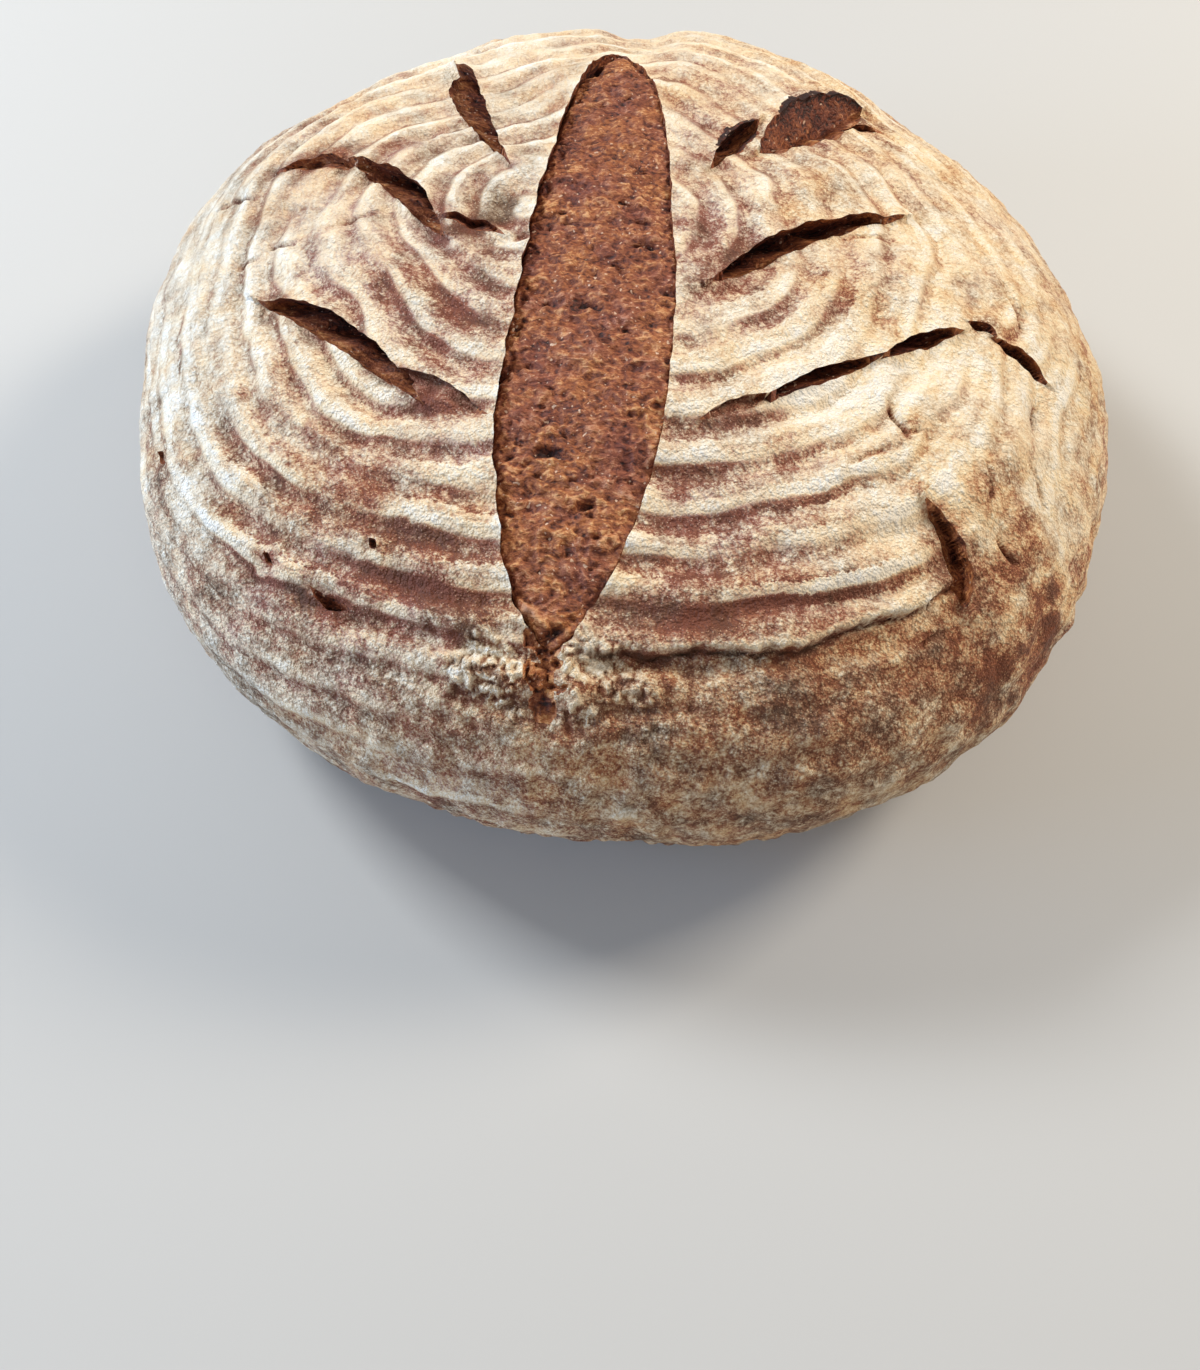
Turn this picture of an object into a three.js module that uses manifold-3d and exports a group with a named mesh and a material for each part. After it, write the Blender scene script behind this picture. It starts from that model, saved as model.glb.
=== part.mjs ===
// A round hearth loaf, baked free-standing after proving in a cane basket. The floured crust keeps the
// basket's rings. One long central slash has burst wide open and shows the torn crumb inside, and
// short slashes fan out to both sides of it.
//
// Millimetres, +Z up. The origin is the middle of the flat underside. +X is to the right of the central
// burst, and +Y runs along the burst to its narrow end.

import * as THREE from 'three';
import { mergeVertices } from 'three/addons/utils/BufferGeometryUtils.js';
import Module from 'manifold-3d';

const wasm = await Module();
wasm.setup();

// ---- The loaf's body ----
const WIDEST_RADIUS = 120;
const WIDEST_LEVEL = 38; // height of the widest girth above the underside
const CROWN_HEIGHT = 48; // from the widest girth up to the top
const CROWN_POWER = 2.34; // 2 is an ellipse, more is squarer shoulders
const UNDERSIDE_RADIUS = 99;

// The outline is not quite round: each wave adds this share of the radius as a cosine and a sine.
const OUTLINE_WAVES = [
  [0.031, 0.002],
  [-0.010, -0.016],
  [-0.010, -0.010],
  [-0.005, -0.008],
  [0.008, 0.006],
];

// ---- The rings that the proving basket pressed into the dough ----
const RING_PITCH = 10.3;
const RING_HEIGHT = 0.7; // half of the step from groove to ridge
const RING_CENTRE = new THREE.Vector2(-3, 7);
const RINGS_START = 6; // the basket's middle is plain
const RINGS_END = 120;
const RINGS_FADE = 14;
const RING_PHASE = 1.1;

// ---- The central burst ----
// Places on the crust are flat pairs: the distance from the top, measured over the crust, and its
// direction, written as x and y.
const BURST = {
  narrowEnd: 75,
  wideEnd: -100,
  widestAt: -42,
  halfWidth: 17.2,
  roundness: 0.6, // the power of the two half ellipses that make the outline
  centre: [-1.5, 0.063, -0.00022], // x of the middle line as a polynomial of y
  crustStep: 2.6, // how far the torn crumb lies under the crust
  cutDepth: 9,
  cutClearance: 7,
  reach: 100, // how far over the crust the opening pushed the rings aside
  push: 0.8, // share of the opening that the rings followed
  steps: 24,
};

// ---- The short slashes ----
// from and to are the two ends on the crust, bow is how far the middle leaves the straight line to the
// left of that direction, gape is the greatest width, widestAt where it is, and lean how far the
// bottom of the cut slips under the upper lip, as a share of the depth.
const SLASHES = [
  { from: [-24, 28], to: [-39, 79], bow: 1.5, gape: 8, widestAt: 0.68, depth: 9, lean: -0.5 },
  { from: [-37, 3], to: [-62, 33], bow: -2.5, gape: 7, widestAt: 0.5, depth: 9, lean: -0.5 },
  { from: [-60, 31], to: [-80, 35], bow: -1, gape: 3, widestAt: 0.4, depth: 3, lean: 0 },
  { from: [-36, -46], to: [-82, -11], bow: -2, gape: 7.5, widestAt: 0.45, depth: 9, lean: -0.5 },
  { from: [21, 26], to: [37, 45], bow: 1, gape: 4, widestAt: 0.6, depth: 6, lean: 0.5 },
  { from: [37, 34], to: [60, 70], bow: 1, gape: 13, widestAt: 0.62, depth: 10, lean: 0.5 },
  { from: [22, -12], to: [69, 18], bow: 2.5, gape: 6, widestAt: 0.45, depth: 9, lean: 0.6 },
  { from: [30, -40], to: [54, -28], bow: 0.5, gape: 3, widestAt: 0.5, depth: 6, lean: 0.5 },
  { from: [56, -28], to: [77, -16], bow: 0.5, gape: 3.4, widestAt: 0.5, depth: 6, lean: 0.5 },
  { from: [81, -13], to: [98, -22], bow: 0.5, gape: 3.4, widestAt: 0.6, depth: 4, lean: 0.3 },
  { from: [62, -59], to: [75, -76], bow: 2, gape: 4.5, widestAt: 0.6, depth: 4, lean: 0 },
];
const SLASH_PUSH = 2; // the lobes between slashes swelled too, so the rings moved further than the gape
const SLASH_REACH = 75;
const VALLEY_DEPTH = 2.4; // the crust dips towards each slash
const VALLEY_WIDTH = 13;
const VALLEY_OVERRUN = 0.25; // the dip runs on past both ends of the slash
const SLASH_STEPS = 10;
const SLASH_CLEARANCE = 4;

// ---- Mesh fineness ----
const CROWN_STEPS = 36;
const FLANK_STEPS = 6;
const TURN_STEPS = 76;
const PROFILE_SAMPLES = 400;

const CRUST_COLOUR = 0xc9b08c;

const clamp01 = (t) => Math.min(1, Math.max(0, t));
const smoothstep = (t) => clamp01(t) ** 2 * (3 - 2 * clamp01(t));

// The half section from the top out to the underside, as radius and height against the distance
// along the crust.
function traceProfile() {
  const points = [];
  for (let i = 0; i <= PROFILE_SAMPLES; i += 1) {
    const turn = (i / PROFILE_SAMPLES) * (Math.PI / 2);
    const radius = WIDEST_RADIUS * Math.sin(turn) ** (2 / CROWN_POWER);
    const height = WIDEST_LEVEL + CROWN_HEIGHT * Math.cos(turn) ** (2 / CROWN_POWER);
    points.push({ radius, height });
  }
  for (let i = 1; i <= PROFILE_SAMPLES; i += 1) {
    const drop = i / PROFILE_SAMPLES;
    const radius = WIDEST_RADIUS - (WIDEST_RADIUS - UNDERSIDE_RADIUS) * drop ** 2;
    const height = WIDEST_LEVEL * (1 - drop);
    points.push({ radius, height });
  }
  let length = 0;
  points.forEach((point, i) => {
    const last = points[Math.max(0, i - 1)];
    length += Math.hypot(point.radius - last.radius, point.height - last.height);
    point.length = length;
  });
  return points;
}

const PROFILE = traceProfile();
const CROWN_LENGTH = PROFILE[PROFILE_SAMPLES].length;
const FULL_LENGTH = PROFILE[PROFILE.length - 1].length;

// Radius, height and outward direction of the section at one distance along the crust.
function sectionAt(length) {
  let high = PROFILE.findIndex((point) => point.length > length);
  high = high < 0 ? PROFILE.length - 1 : Math.max(1, high);
  const a = PROFILE[high - 1];
  const b = PROFILE[high];
  const share = clamp01((length - a.length) / (b.length - a.length));
  const run = b.length - a.length;
  return {
    radius: a.radius + (b.radius - a.radius) * share,
    height: a.height + (b.height - a.height) * share,
    outX: (a.height - b.height) / run,
    outZ: (b.radius - a.radius) / run,
  };
}

function outlineFactor(angle) {
  return OUTLINE_WAVES.reduce(
    (sum, [c, s], i) => sum + c * Math.cos((i + 1) * angle) + s * Math.sin((i + 1) * angle),
    1,
  );
}

// A place on the crust, raised off it by the given height.
function crustPoint(x, y, raised) {
  const angle = Math.atan2(y, x);
  const section = sectionAt(Math.hypot(x, y));
  const radius = section.radius * outlineFactor(angle) + section.outX * raised;
  const height = Math.max(0, section.height + section.outZ * raised);
  return new THREE.Vector3(radius * Math.cos(angle), radius * Math.sin(angle), height);
}

// ---- The burst's outline ----
function burstCentre(y) {
  const [c0, c1, c2] = BURST.centre;
  return c0 + c1 * y + c2 * y * y;
}

function burstHalfWidth(y) {
  const end = y > BURST.widestAt ? BURST.narrowEnd : BURST.wideEnd;
  const share = clamp01((y - BURST.widestAt) / (end - BURST.widestAt));
  return BURST.halfWidth * (1 - share * share) ** BURST.roundness;
}

// ---- A slash's line ----
// Where a place on the crust lies against a slash: along it from 0 to 1, and across it to the left.
function alongAndAcross(slash, x, y) {
  const from = new THREE.Vector2(...slash.from);
  const line = new THREE.Vector2(...slash.to).sub(from);
  const reach = line.length();
  line.normalize();
  const offset = new THREE.Vector2(x, y).sub(from);
  const along = offset.dot(line) / reach;
  const bow = slash.bow * 4 * clamp01(along) * (1 - clamp01(along));
  return { along, across: line.cross(offset) - bow, left: new THREE.Vector2(-line.y, line.x) };
}

// The opening grows from nothing at both ends to 1 where the slash is widest.
function opening(slash, along) {
  const shifted = clamp01(along) ** (Math.log(0.5) / Math.log(slash.widestAt));
  return (4 * shifted * (1 - shifted)) ** 0.75;
}

// ---- Relief on the crust ----
// The rings were concentric before the dough burst, so a place is first moved back to where it was.
function unopened(x, y) {
  const place = new THREE.Vector2(x, y);
  const acrossBurst = x - burstCentre(y);
  const half = burstHalfWidth(y);
  const away = Math.max(0, Math.abs(acrossBurst) - half);
  place.x -= Math.sign(acrossBurst) * BURST.push * half * Math.exp(-away / BURST.reach);
  for (const slash of SLASHES) {
    const { along, across, left } = alongAndAcross(slash, x, y);
    const push = SLASH_PUSH * 0.5 * slash.gape * opening(slash, along);
    const fade = Math.exp(-Math.abs(across) / SLASH_REACH);
    place.addScaledVector(left, -Math.sign(across) * push * fade);
  }
  return place;
}

function ringRelief(x, y) {
  const distance = unopened(x, y).distanceTo(RING_CENTRE);
  const turn = (2 * Math.PI * distance) / RING_PITCH - RING_PHASE;
  const start = smoothstep((distance - RINGS_START) / RINGS_FADE);
  const end = smoothstep((RINGS_END - distance) / RINGS_FADE);
  return RING_HEIGHT * Math.cos(turn) * start * end;
}

function valleyRelief(x, y) {
  return SLASHES.reduce((sum, slash) => {
    const { along, across } = alongAndAcross(slash, x, y);
    const share = (along + VALLEY_OVERRUN) / (1 + 2 * VALLEY_OVERRUN);
    const size = slash.gape / 8;
    const run = Math.sin(Math.PI * clamp01(share)) ** 2;
    return sum - VALLEY_DEPTH * size * run * Math.exp(-((across / VALLEY_WIDTH) ** 2));
  }, 0);
}

// The wide end of the underside stays flat: every relief fades out down the flank.
function flankFade(length) {
  return smoothstep((FULL_LENGTH - length) / (FULL_LENGTH - CROWN_LENGTH));
}

function crustRelief(x, y) {
  return (ringRelief(x, y) + valleyRelief(x, y)) * flankFade(Math.hypot(x, y));
}

// The torn crumb lies a step under the crust and is coarse and uneven.
function crumbRelief(x, y) {
  const coarse = Math.sin(x * 0.43 + 1.3 * Math.sin(y * 0.21)) * Math.sin(y * 0.37);
  const fine = Math.sin(x * 0.9 + y * 0.5) * Math.sin(y * 0.83 - x * 0.3);
  return (0.5 * coarse + 0.35 * fine - BURST.crustStep) * flankFade(Math.hypot(x, y));
}

// ---- Solids ----
// A closed round body: rings of points from the top down to the flat underside.
function roundBody(relief, rings) {
  const positions = [];
  const indices = [];
  positions.push(...crustPoint(0, 0, relief(0, 0)).toArray());
  for (const length of rings) {
    for (let turn = 0; turn < TURN_STEPS; turn += 1) {
      const angle = (turn / TURN_STEPS) * 2 * Math.PI;
      const x = length * Math.cos(angle);
      const y = length * Math.sin(angle);
      positions.push(...crustPoint(x, y, relief(x, y)).toArray());
    }
  }
  const bottom = positions.length / 3;
  positions.push(0, 0, 0);
  for (let turn = 0; turn < TURN_STEPS; turn += 1) {
    const next = (turn + 1) % TURN_STEPS;
    indices.push(0, 1 + turn, 1 + next);
    for (let ring = 1; ring < rings.length; ring += 1) {
      const upper = 1 + (ring - 1) * TURN_STEPS;
      const lower = upper + TURN_STEPS;
      indices.push(upper + turn, lower + turn, lower + next);
      indices.push(upper + turn, lower + next, upper + next);
    }
    const last = 1 + (rings.length - 1) * TURN_STEPS;
    indices.push(last + turn, bottom, last + next);
  }
  return solid(positions, indices);
}

// Distances of the rings of points along the crust.
function ringDistances() {
  const crown = Array.from({ length: CROWN_STEPS }, (_, i) => ((i + 1) / CROWN_STEPS) * CROWN_LENGTH);
  const flank = Array.from({ length: FLANK_STEPS }, (_, i) => (i + 1) / FLANK_STEPS);
  return crown.concat(flank.map((share) => CROWN_LENGTH + share * (FULL_LENGTH - CROWN_LENGTH)));
}

// A closed body through equal rows of points, each row the outline of one cross section.
function rowBody(rows) {
  const positions = rows.flatMap((row) => row.flatMap((point) => point.toArray()));
  const size = rows[0].length;
  const indices = [];
  for (let row = 1; row < rows.length; row += 1) {
    for (let i = 0; i < size; i += 1) {
      const a = (row - 1) * size + i;
      const b = (row - 1) * size + ((i + 1) % size);
      indices.push(a, a + size, b + size, a, b + size, b);
    }
  }
  const last = (rows.length - 1) * size;
  for (let i = 1; i + 1 < size; i += 1) {
    indices.push(0, i, i + 1);
    indices.push(last, last + i + 1, last + i);
  }
  return solid(positions, indices);
}

function solid(positions, indices) {
  const mesh = { numProp: 3, vertProperties: Float32Array.from(positions) };
  mesh.triVerts = Uint32Array.from(indices);
  return new wasm.Manifold(new wasm.Mesh(mesh));
}

// The tool that lifts the crust off the burst.
function burstCutter() {
  const rows = [];
  for (let i = 0; i <= BURST.steps; i += 1) {
    const share = 0.5 - 0.5 * Math.cos((Math.PI * (i + 0.4)) / (BURST.steps + 0.8));
    const y = BURST.wideEnd + (BURST.narrowEnd - BURST.wideEnd) * share;
    const left = burstCentre(y) - burstHalfWidth(y);
    const right = burstCentre(y) + burstHalfWidth(y);
    rows.push([
      crustPoint(left, y, -BURST.cutDepth),
      crustPoint(right, y, -BURST.cutDepth),
      crustPoint(right, y, BURST.cutClearance),
      crustPoint(left, y, BURST.cutClearance),
    ]);
  }
  return rowBody(rows);
}

// The wedge that opens one slash: level with the crust at its ends, deepest where it is widest.
function slashCutter(slash) {
  const from = new THREE.Vector2(...slash.from);
  const to = new THREE.Vector2(...slash.to);
  const left = new THREE.Vector2(from.y - to.y, to.x - from.x).normalize();
  const rows = [];
  for (let i = 0; i <= SLASH_STEPS; i += 1) {
    const along = (i + 0.3) / (SLASH_STEPS + 0.6);
    const wide = opening(slash, along);
    const bow = slash.bow * 4 * along * (1 - along);
    const middle = from.clone().lerp(to, along).addScaledVector(left, bow);
    const half = 0.5 * slash.gape * wide;
    const depth = slash.depth * wide ** 0.5;
    const flare = half * (1 + SLASH_CLEARANCE / depth);
    const bottom = middle.clone().addScaledVector(left, slash.lean * depth);
    const mouth = -slash.lean * SLASH_CLEARANCE;
    const near = middle.clone().addScaledVector(left, mouth - flare);
    const far = middle.clone().addScaledVector(left, mouth + flare);
    rows.push([
      crustPoint(bottom.x, bottom.y, -depth),
      crustPoint(near.x, near.y, SLASH_CLEARANCE),
      crustPoint(far.x, far.y, SLASH_CLEARANCE),
    ]);
  }
  return rowBody(rows);
}

function loafGeometry() {
  const rings = ringDistances();
  let loaf = roundBody(crustRelief, rings).subtract(burstCutter());
  loaf = loaf.add(roundBody(crumbRelief, rings));
  for (const slash of SLASHES) {
    loaf = loaf.subtract(slashCutter(slash));
  }
  const { vertProperties, triVerts } = loaf.getMesh();
  const geometry = new THREE.BufferGeometry();
  geometry.setAttribute('position', new THREE.BufferAttribute(vertProperties, 3));
  geometry.setIndex(new THREE.BufferAttribute(triVerts, 1));
  const merged = mergeVertices(geometry);
  merged.computeVertexNormals();
  return merged;
}

const crust = new THREE.MeshStandardMaterial({ color: CRUST_COLOUR, roughness: 0.9, metalness: 0 });
const boule = new THREE.Mesh(loafGeometry(), crust);
boule.name = 'boule';

const bread = new THREE.Group();
bread.add(boule);

export default bread;
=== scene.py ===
# %% [markdown]
# # A round hearth loaf
# The loaf proved upside down in a cane basket, was turned out, slashed and baked on a stone. So it has
# a floured crust with the basket's rings on it, one long slash that burst open down to the crumb, short
# slashes fanned out to both sides, and a flat browned underside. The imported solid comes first, because
# every piece below is made in its frame and keeps to its size.

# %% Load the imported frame
import math

import bmesh
import bpy
import numpy as np
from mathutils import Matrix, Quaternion, Vector, noise


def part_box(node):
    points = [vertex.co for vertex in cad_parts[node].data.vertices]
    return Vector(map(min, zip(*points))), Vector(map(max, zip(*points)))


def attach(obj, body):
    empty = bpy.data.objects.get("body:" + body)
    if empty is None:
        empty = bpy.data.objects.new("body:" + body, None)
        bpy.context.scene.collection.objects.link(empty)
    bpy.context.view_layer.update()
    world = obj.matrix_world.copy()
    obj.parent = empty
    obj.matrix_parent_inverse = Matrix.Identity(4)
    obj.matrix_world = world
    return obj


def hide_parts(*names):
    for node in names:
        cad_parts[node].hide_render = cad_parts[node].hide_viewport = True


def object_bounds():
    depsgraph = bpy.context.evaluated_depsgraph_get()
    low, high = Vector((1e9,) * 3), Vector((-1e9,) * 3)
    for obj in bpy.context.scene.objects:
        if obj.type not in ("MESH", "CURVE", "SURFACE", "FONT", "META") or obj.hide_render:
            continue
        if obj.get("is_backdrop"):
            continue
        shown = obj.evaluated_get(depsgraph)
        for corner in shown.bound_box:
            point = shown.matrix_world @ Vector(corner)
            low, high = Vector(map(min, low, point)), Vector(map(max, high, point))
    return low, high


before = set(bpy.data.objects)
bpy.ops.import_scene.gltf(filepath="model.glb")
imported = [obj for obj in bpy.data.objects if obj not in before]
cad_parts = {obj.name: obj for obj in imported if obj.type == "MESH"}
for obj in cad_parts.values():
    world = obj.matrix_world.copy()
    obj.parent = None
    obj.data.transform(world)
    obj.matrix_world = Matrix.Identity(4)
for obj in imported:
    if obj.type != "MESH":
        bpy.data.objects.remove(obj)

MM = 0.001
cad_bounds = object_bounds()
cad_low, cad_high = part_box("boule")
print("CAD loaf, mm:", [round((b - a) / MM, 1) for a, b in zip(cad_low, cad_high)])

# %% [markdown]
# ## The loaf's section
# A loaf baked free-standing slumps a little: broad shoulders, a flattish top, and sides that draw in to
# the underside. Half of that section is a superellipse above the widest girth and a parabola below it.
# Everything on the crust is then placed by how far it lies from the top, measured over the crust, as a
# flat map of the loaf. Modelling happens on that flat map, and wrapping lays it on the section.

# %% The section, in millimetres
WIDEST_RADIUS = 120
WIDEST_LEVEL = 38
CROWN_HEIGHT = 48
CROWN_POWER = 2.34
UNDERSIDE_RADIUS = 99
OUTLINE_WAVES = [(0.031, 0.002), (-0.010, -0.016), (-0.010, -0.010), (-0.005, -0.008), (0.008, 0.006)]

turn = np.linspace(0, math.pi / 2, 600)
drop = np.linspace(0, 1, 200)[1:]
section_r = np.r_[WIDEST_RADIUS * np.sin(turn) ** (2 / CROWN_POWER),
                  WIDEST_RADIUS - (WIDEST_RADIUS - UNDERSIDE_RADIUS) * drop**2]
section_z = np.r_[WIDEST_LEVEL + CROWN_HEIGHT * np.cos(turn) ** (2 / CROWN_POWER), WIDEST_LEVEL * (1 - drop)]
section_s = np.r_[0, np.cumsum(np.hypot(np.diff(section_r), np.diff(section_z)))]
CROWN_LENGTH = float(section_s[len(turn) - 1])
FULL_LENGTH = float(section_s[-1])
out_r = -np.gradient(section_z, section_s)
out_z = np.gradient(section_r, section_s)
print(f"over the crust: {CROWN_LENGTH:.0f} mm to the widest girth, {FULL_LENGTH:.0f} mm to the underside")


# %% Soft steps, the outline and wrapping
def smooth(t):
    """Goes from 0 to 1 without a corner as t does."""
    t = np.clip(t, 0, 1)
    return t * t * (3 - 2 * t)


def hump(t):
    """1 in the middle, fading to 0 past about 2 on both sides."""
    return np.exp(-(t**2))


def fading(past, length):
    """1 up to an edge, then less and less; it falls to about a third over the length."""
    return np.exp(-np.maximum(past, 0) / length)


def outline(angle):
    """How much wider than a circle the loaf is in each direction."""
    waves = [c * np.cos(k * angle) + s * np.sin(k * angle) for k, (c, s) in enumerate(OUTLINE_WAVES, 1)]
    return 1 + sum(waves)


def wrap(x, y, raised):
    """Lays places of the flat map on the loaf, raised off the crust, all in millimetres."""
    s, angle = np.hypot(x, y), np.arctan2(y, x)
    r = np.interp(s, section_s, section_r) * outline(angle) + np.interp(s, section_s, out_r) * raised
    z = np.interp(s, section_s, section_z) + np.interp(s, section_s, out_z) * raised
    return np.stack([r * np.cos(angle), r * np.sin(angle), np.maximum(z, 0)], -1)


# %% [markdown]
# ## Unevenness
# Dough is never smooth: it swells in broad lumps, and the crust is grainy with flour. Blender's noise
# makes both. One call gives a value from about -1 to 1 for each place, and the size says how many
# millimetres a lump measures. Whatever happens in one area only is a soft oval patch.

# %% Lumps of a chosen size, and soft patches
def lumps(x, y, size, seed):
    """Soft noise from about -1 to 1, whose lumps measure the given size in mm."""
    base = Vector((seed * 7.31, seed * 3.17, seed * 1.73))
    return np.array([noise.noise(base + Vector((a, b, 0)) / size) for a, b in zip(x, y)])


def patch(x, y, centre, size, turned=0):
    """1 in the middle of an oval patch, fading to 0 past its rim; sizes in mm, turned in degrees."""
    c, s = math.cos(math.radians(turned)), math.sin(math.radians(turned))
    u = ((x - centre[0]) * c + (y - centre[1]) * s) / size[0]
    v = ((y - centre[1]) * c - (x - centre[0]) * s) / size[1]
    return np.exp(-((u * u + v * v) ** 1.5))


def add_patches(values, x, y, table, factor=1):
    """Adds an amount in soft patches; a row has the place, the size, how it is turned and the amount."""
    for centre, size, turned, amount in table:
        values += amount * patch(x, y, centre, size, turned) * factor


# %% [markdown]
# ## The burst and the slashes
# The long slash opened into a lens as the dough rose in the oven. Each half of its outline is close to
# half an ellipse. The short slashes were cut at a slant, so each one opens as a narrow lens whose floor
# slips in under a raised lip. They are kept as a list of sizes, because the crust's relief, the cuts
# themselves and the bending of the rings all need the same ones. In each row stand the two ends, how far
# the cut bows to its left, how wide it gapes, where along it, how deep it is, and how far its floor leans.
# Two cuts also have a taper, for how sharply the ends close, and a foot, for where the floor is lowest.

# %% Sizes of the burst and the slashes
BURST = dict(narrow_end=76, wide_end=-99.5, widest_at=-42, half_width=17.2)
NARROW_ROUNDNESS = 0.53
WIDE_ROUNDNESS = 0.66
SLASH_SIZES = ("start", "end", "bow", "gape", "widest", "depth", "lean", "taper", "foot")
SLASHES = [dict(zip(SLASH_SIZES, row)) for row in [
    ((-21.0, 22), (-40, 77), 1.8, 8.2, 0.84, 8.0, -0.5, 1.2),
    ((-36.8, 1.5), (-61.5, 33), -2.8, 6.2, 0.50, 7.0, -0.65),
    ((-60, 32.2), (-82, 34.5), -1.4, 3.9, 0.36, 2.3, -0.2),
    ((-22.5, 0.4), (-38, 8.4), -0.9, 3.0, 0.62, 2.2, -0.5),
    ((-37, -45.5), (-82.5, -10.5), -2.6, 6.3, 0.50, 8, -0.65),
    ((-23, -50), (-46, -36), -0.6, 4.2, 0.62, 1.4, -0.6),
    ((23, 25.5), (35.5, 45), 1.0, 4.4, 0.62, 6, 0.5),
    ((35.5, 36), (65.5, 67), 0.4, 13.5, 0.55, 7.0, 0.0, 0.6, -0.35),
    ((60, 57), (71, 58), -0.6, 2.2, 0.4, 2.2, 0.3),
    ((21, -12), (70, 18), 3.2, 4.6, 0.34, 7.5, 0.65),
    ((18, -47.5), (36, -38), 0.5, 3.0, 0.5, 1.4, 0.5),
    ((28, -41.8), (57.5, -26.4), 0.7, 2.9, 0.60, 5.5, 0.6),
    ((55.5, -28), (77.5, -16), 0.9, 3.2, 0.50, 6.5, 0.6),
    ((78, -13.5), (85.5, -16), 1.1, 2.6, 0.45, 2.4, 0.2),
    ((83, -15.5), (98.5, -23.5), 0.8, 2.7, 0.62, 4.5, 0.4),
    ((61.5, -58.5), (72.5, -79.5), 2.3, 4.3, 0.64, 4.6, 0.15),
    ((-72.6, -75.6), (-69.6, -78.6), 0, 2.8, 0.5, 4.2, 0.0),
    ((-48, -75.2), (-46, -78), 0, 2.2, 0.5, 3.4, 0.0),
    ((-61.5, -83.5), (-52.5, -90), -1.4, 2.5, 0.6, 2.4, -0.2),
    ((-109, -43.6), (-105.4, -47.6), 0, 2.8, 0.5, 3.4, 0.0),
]]
print(f"burst {BURST['narrow_end'] - BURST['wide_end']} mm long, {2 * BURST['half_width']} mm wide, and"
      f" {len(SLASHES)} slashes and cracks")


# %% Shape of the burst and of a slash
def burst_centre(y):
    """How far to the right the middle of the burst lies, for each place from back to front."""
    return -1.5 + 0.063 * y - 0.00022 * y * y


def burst_half(y):
    """Half the width of the burst; it is 0 past its ends."""
    upper = y > BURST["widest_at"]
    end = np.where(upper, BURST["narrow_end"], BURST["wide_end"])
    share = np.clip((y - BURST["widest_at"]) / (end - BURST["widest_at"]), 0, 1)
    return BURST["half_width"] * (1 - share**2) ** np.where(upper, NARROW_ROUNDNESS, WIDE_ROUNDNESS)


def opening(slash, along):
    """0 at both ends of a slash, 1 where it gapes most."""
    held = np.clip(along, 0, 1)
    share = np.minimum(held / slash["widest"], (1 - held) / (1 - slash["widest"]))
    return np.sin(math.pi / 2 * share) ** np.where(held < slash["widest"], slash.get("taper", 0.85), 0.7)


def slash_axes(slash):
    """Where a slash starts, the directions along it and to its left, and its length."""
    start, end = Vector(slash["start"]), Vector(slash["end"])
    line = (end - start).normalized()
    return start, line, Vector((-line.y, line.x)), (end - start).length


def along_and_across(slash, x, y):
    """Where places lie against a slash: along it from 0 to 1, and to the left of it in millimetres."""
    start, line, left, length = slash_axes(slash)
    along = ((x - start.x) * line.x + (y - start.y) * line.y) / length
    across = (x - start.x) * left.x + (y - start.y) * left.y
    held = np.clip(along, 0, 1)
    return along, across - slash["bow"] * 4 * held * (1 - held)


# %% [markdown]
# ## The basket's rings
# The rings were round when the dough was turned out. Then each cut opened and pushed the crust to both
# sides, so the rings bend round the openings today. A place is therefore moved back to where it lay
# before the cuts opened, and its distance from the basket's middle there says which ring it is on.

# %% Which ring a place belongs to
RING_PITCH = 10.2
RING_CENTRE = (-3, 7)
FIRST_RIDGE = 51.8
BURST_MOVED_RINGS = 0.8
BURST_REACH = 100
SLASHES_MOVED_RINGS = 2.0
SLASH_REACH = 75
LOBE_SLIPPED = 5.5  # mm that the small lobe left of the burst slipped sideways


def ring_number(x, y):
    """Which ring each place lies on: a whole number on a ridge, and a half in the middle of a furrow."""
    from_burst = x - burst_centre(y)
    half = burst_half(y)
    away = np.maximum(np.abs(from_burst) - half, 0)
    back_x = x - np.sign(from_burst) * BURST_MOVED_RINGS * half * np.exp(-away / BURST_REACH)
    back_x += LOBE_SLIPPED * patch(x, y, (-28, 12), (19, 24))
    back_y = y.copy()
    for slash in SLASHES:
        along, across = along_and_across(slash, x, y)
        push = SLASHES_MOVED_RINGS / 2 * slash["gape"] * opening(slash, along) * min(1, slash["depth"] / 6)
        push = push * np.tanh(across / 1.5) * np.exp(-np.abs(across) / SLASH_REACH)
        left = slash_axes(slash)[2]
        back_x, back_y = back_x - push * left.x, back_y - push * left.y
    return (np.hypot(back_x - RING_CENTRE[0], back_y - RING_CENTRE[1]) - FIRST_RIDGE) / RING_PITCH


EDGE_RIDGES = [(-26, -54), (-26, -64.5), (-26, -74.5), (-26, -84), (14, -38), (12, -48), (10, -65), (6, -77)]
print("ridges on the burst's edges fall on ring numbers", ring_number(*np.array(EDGE_RIDGES).T).round(2))

# %% [markdown]
# ## Mouths of the openings
# A place's distance to the edge of an opening decides what happens to it: whether it is crust, lip or
# torn inside. The distance is negative inside. Real edges tear along the ridges and the grain, so each
# outline wavers a little, and the burst's left edge bulges at every ridge of the basket.

# %% Distance to the edge of every opening
TORN_END = 3.2
TIP_CLOSED = 0.3


def waver(length_along, seed):
    """How far an outline wavers to one side, in mm, by how far along it a place lies."""
    long_wave = np.sin(length_along / 2.3 + 1.7 * seed) + 0.7 * np.sin(length_along / 1.25 + 2.9 * seed)
    return 0.13 * long_wave + 0.10 * np.sin(length_along / 0.61 + 5.1 * seed)


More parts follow.
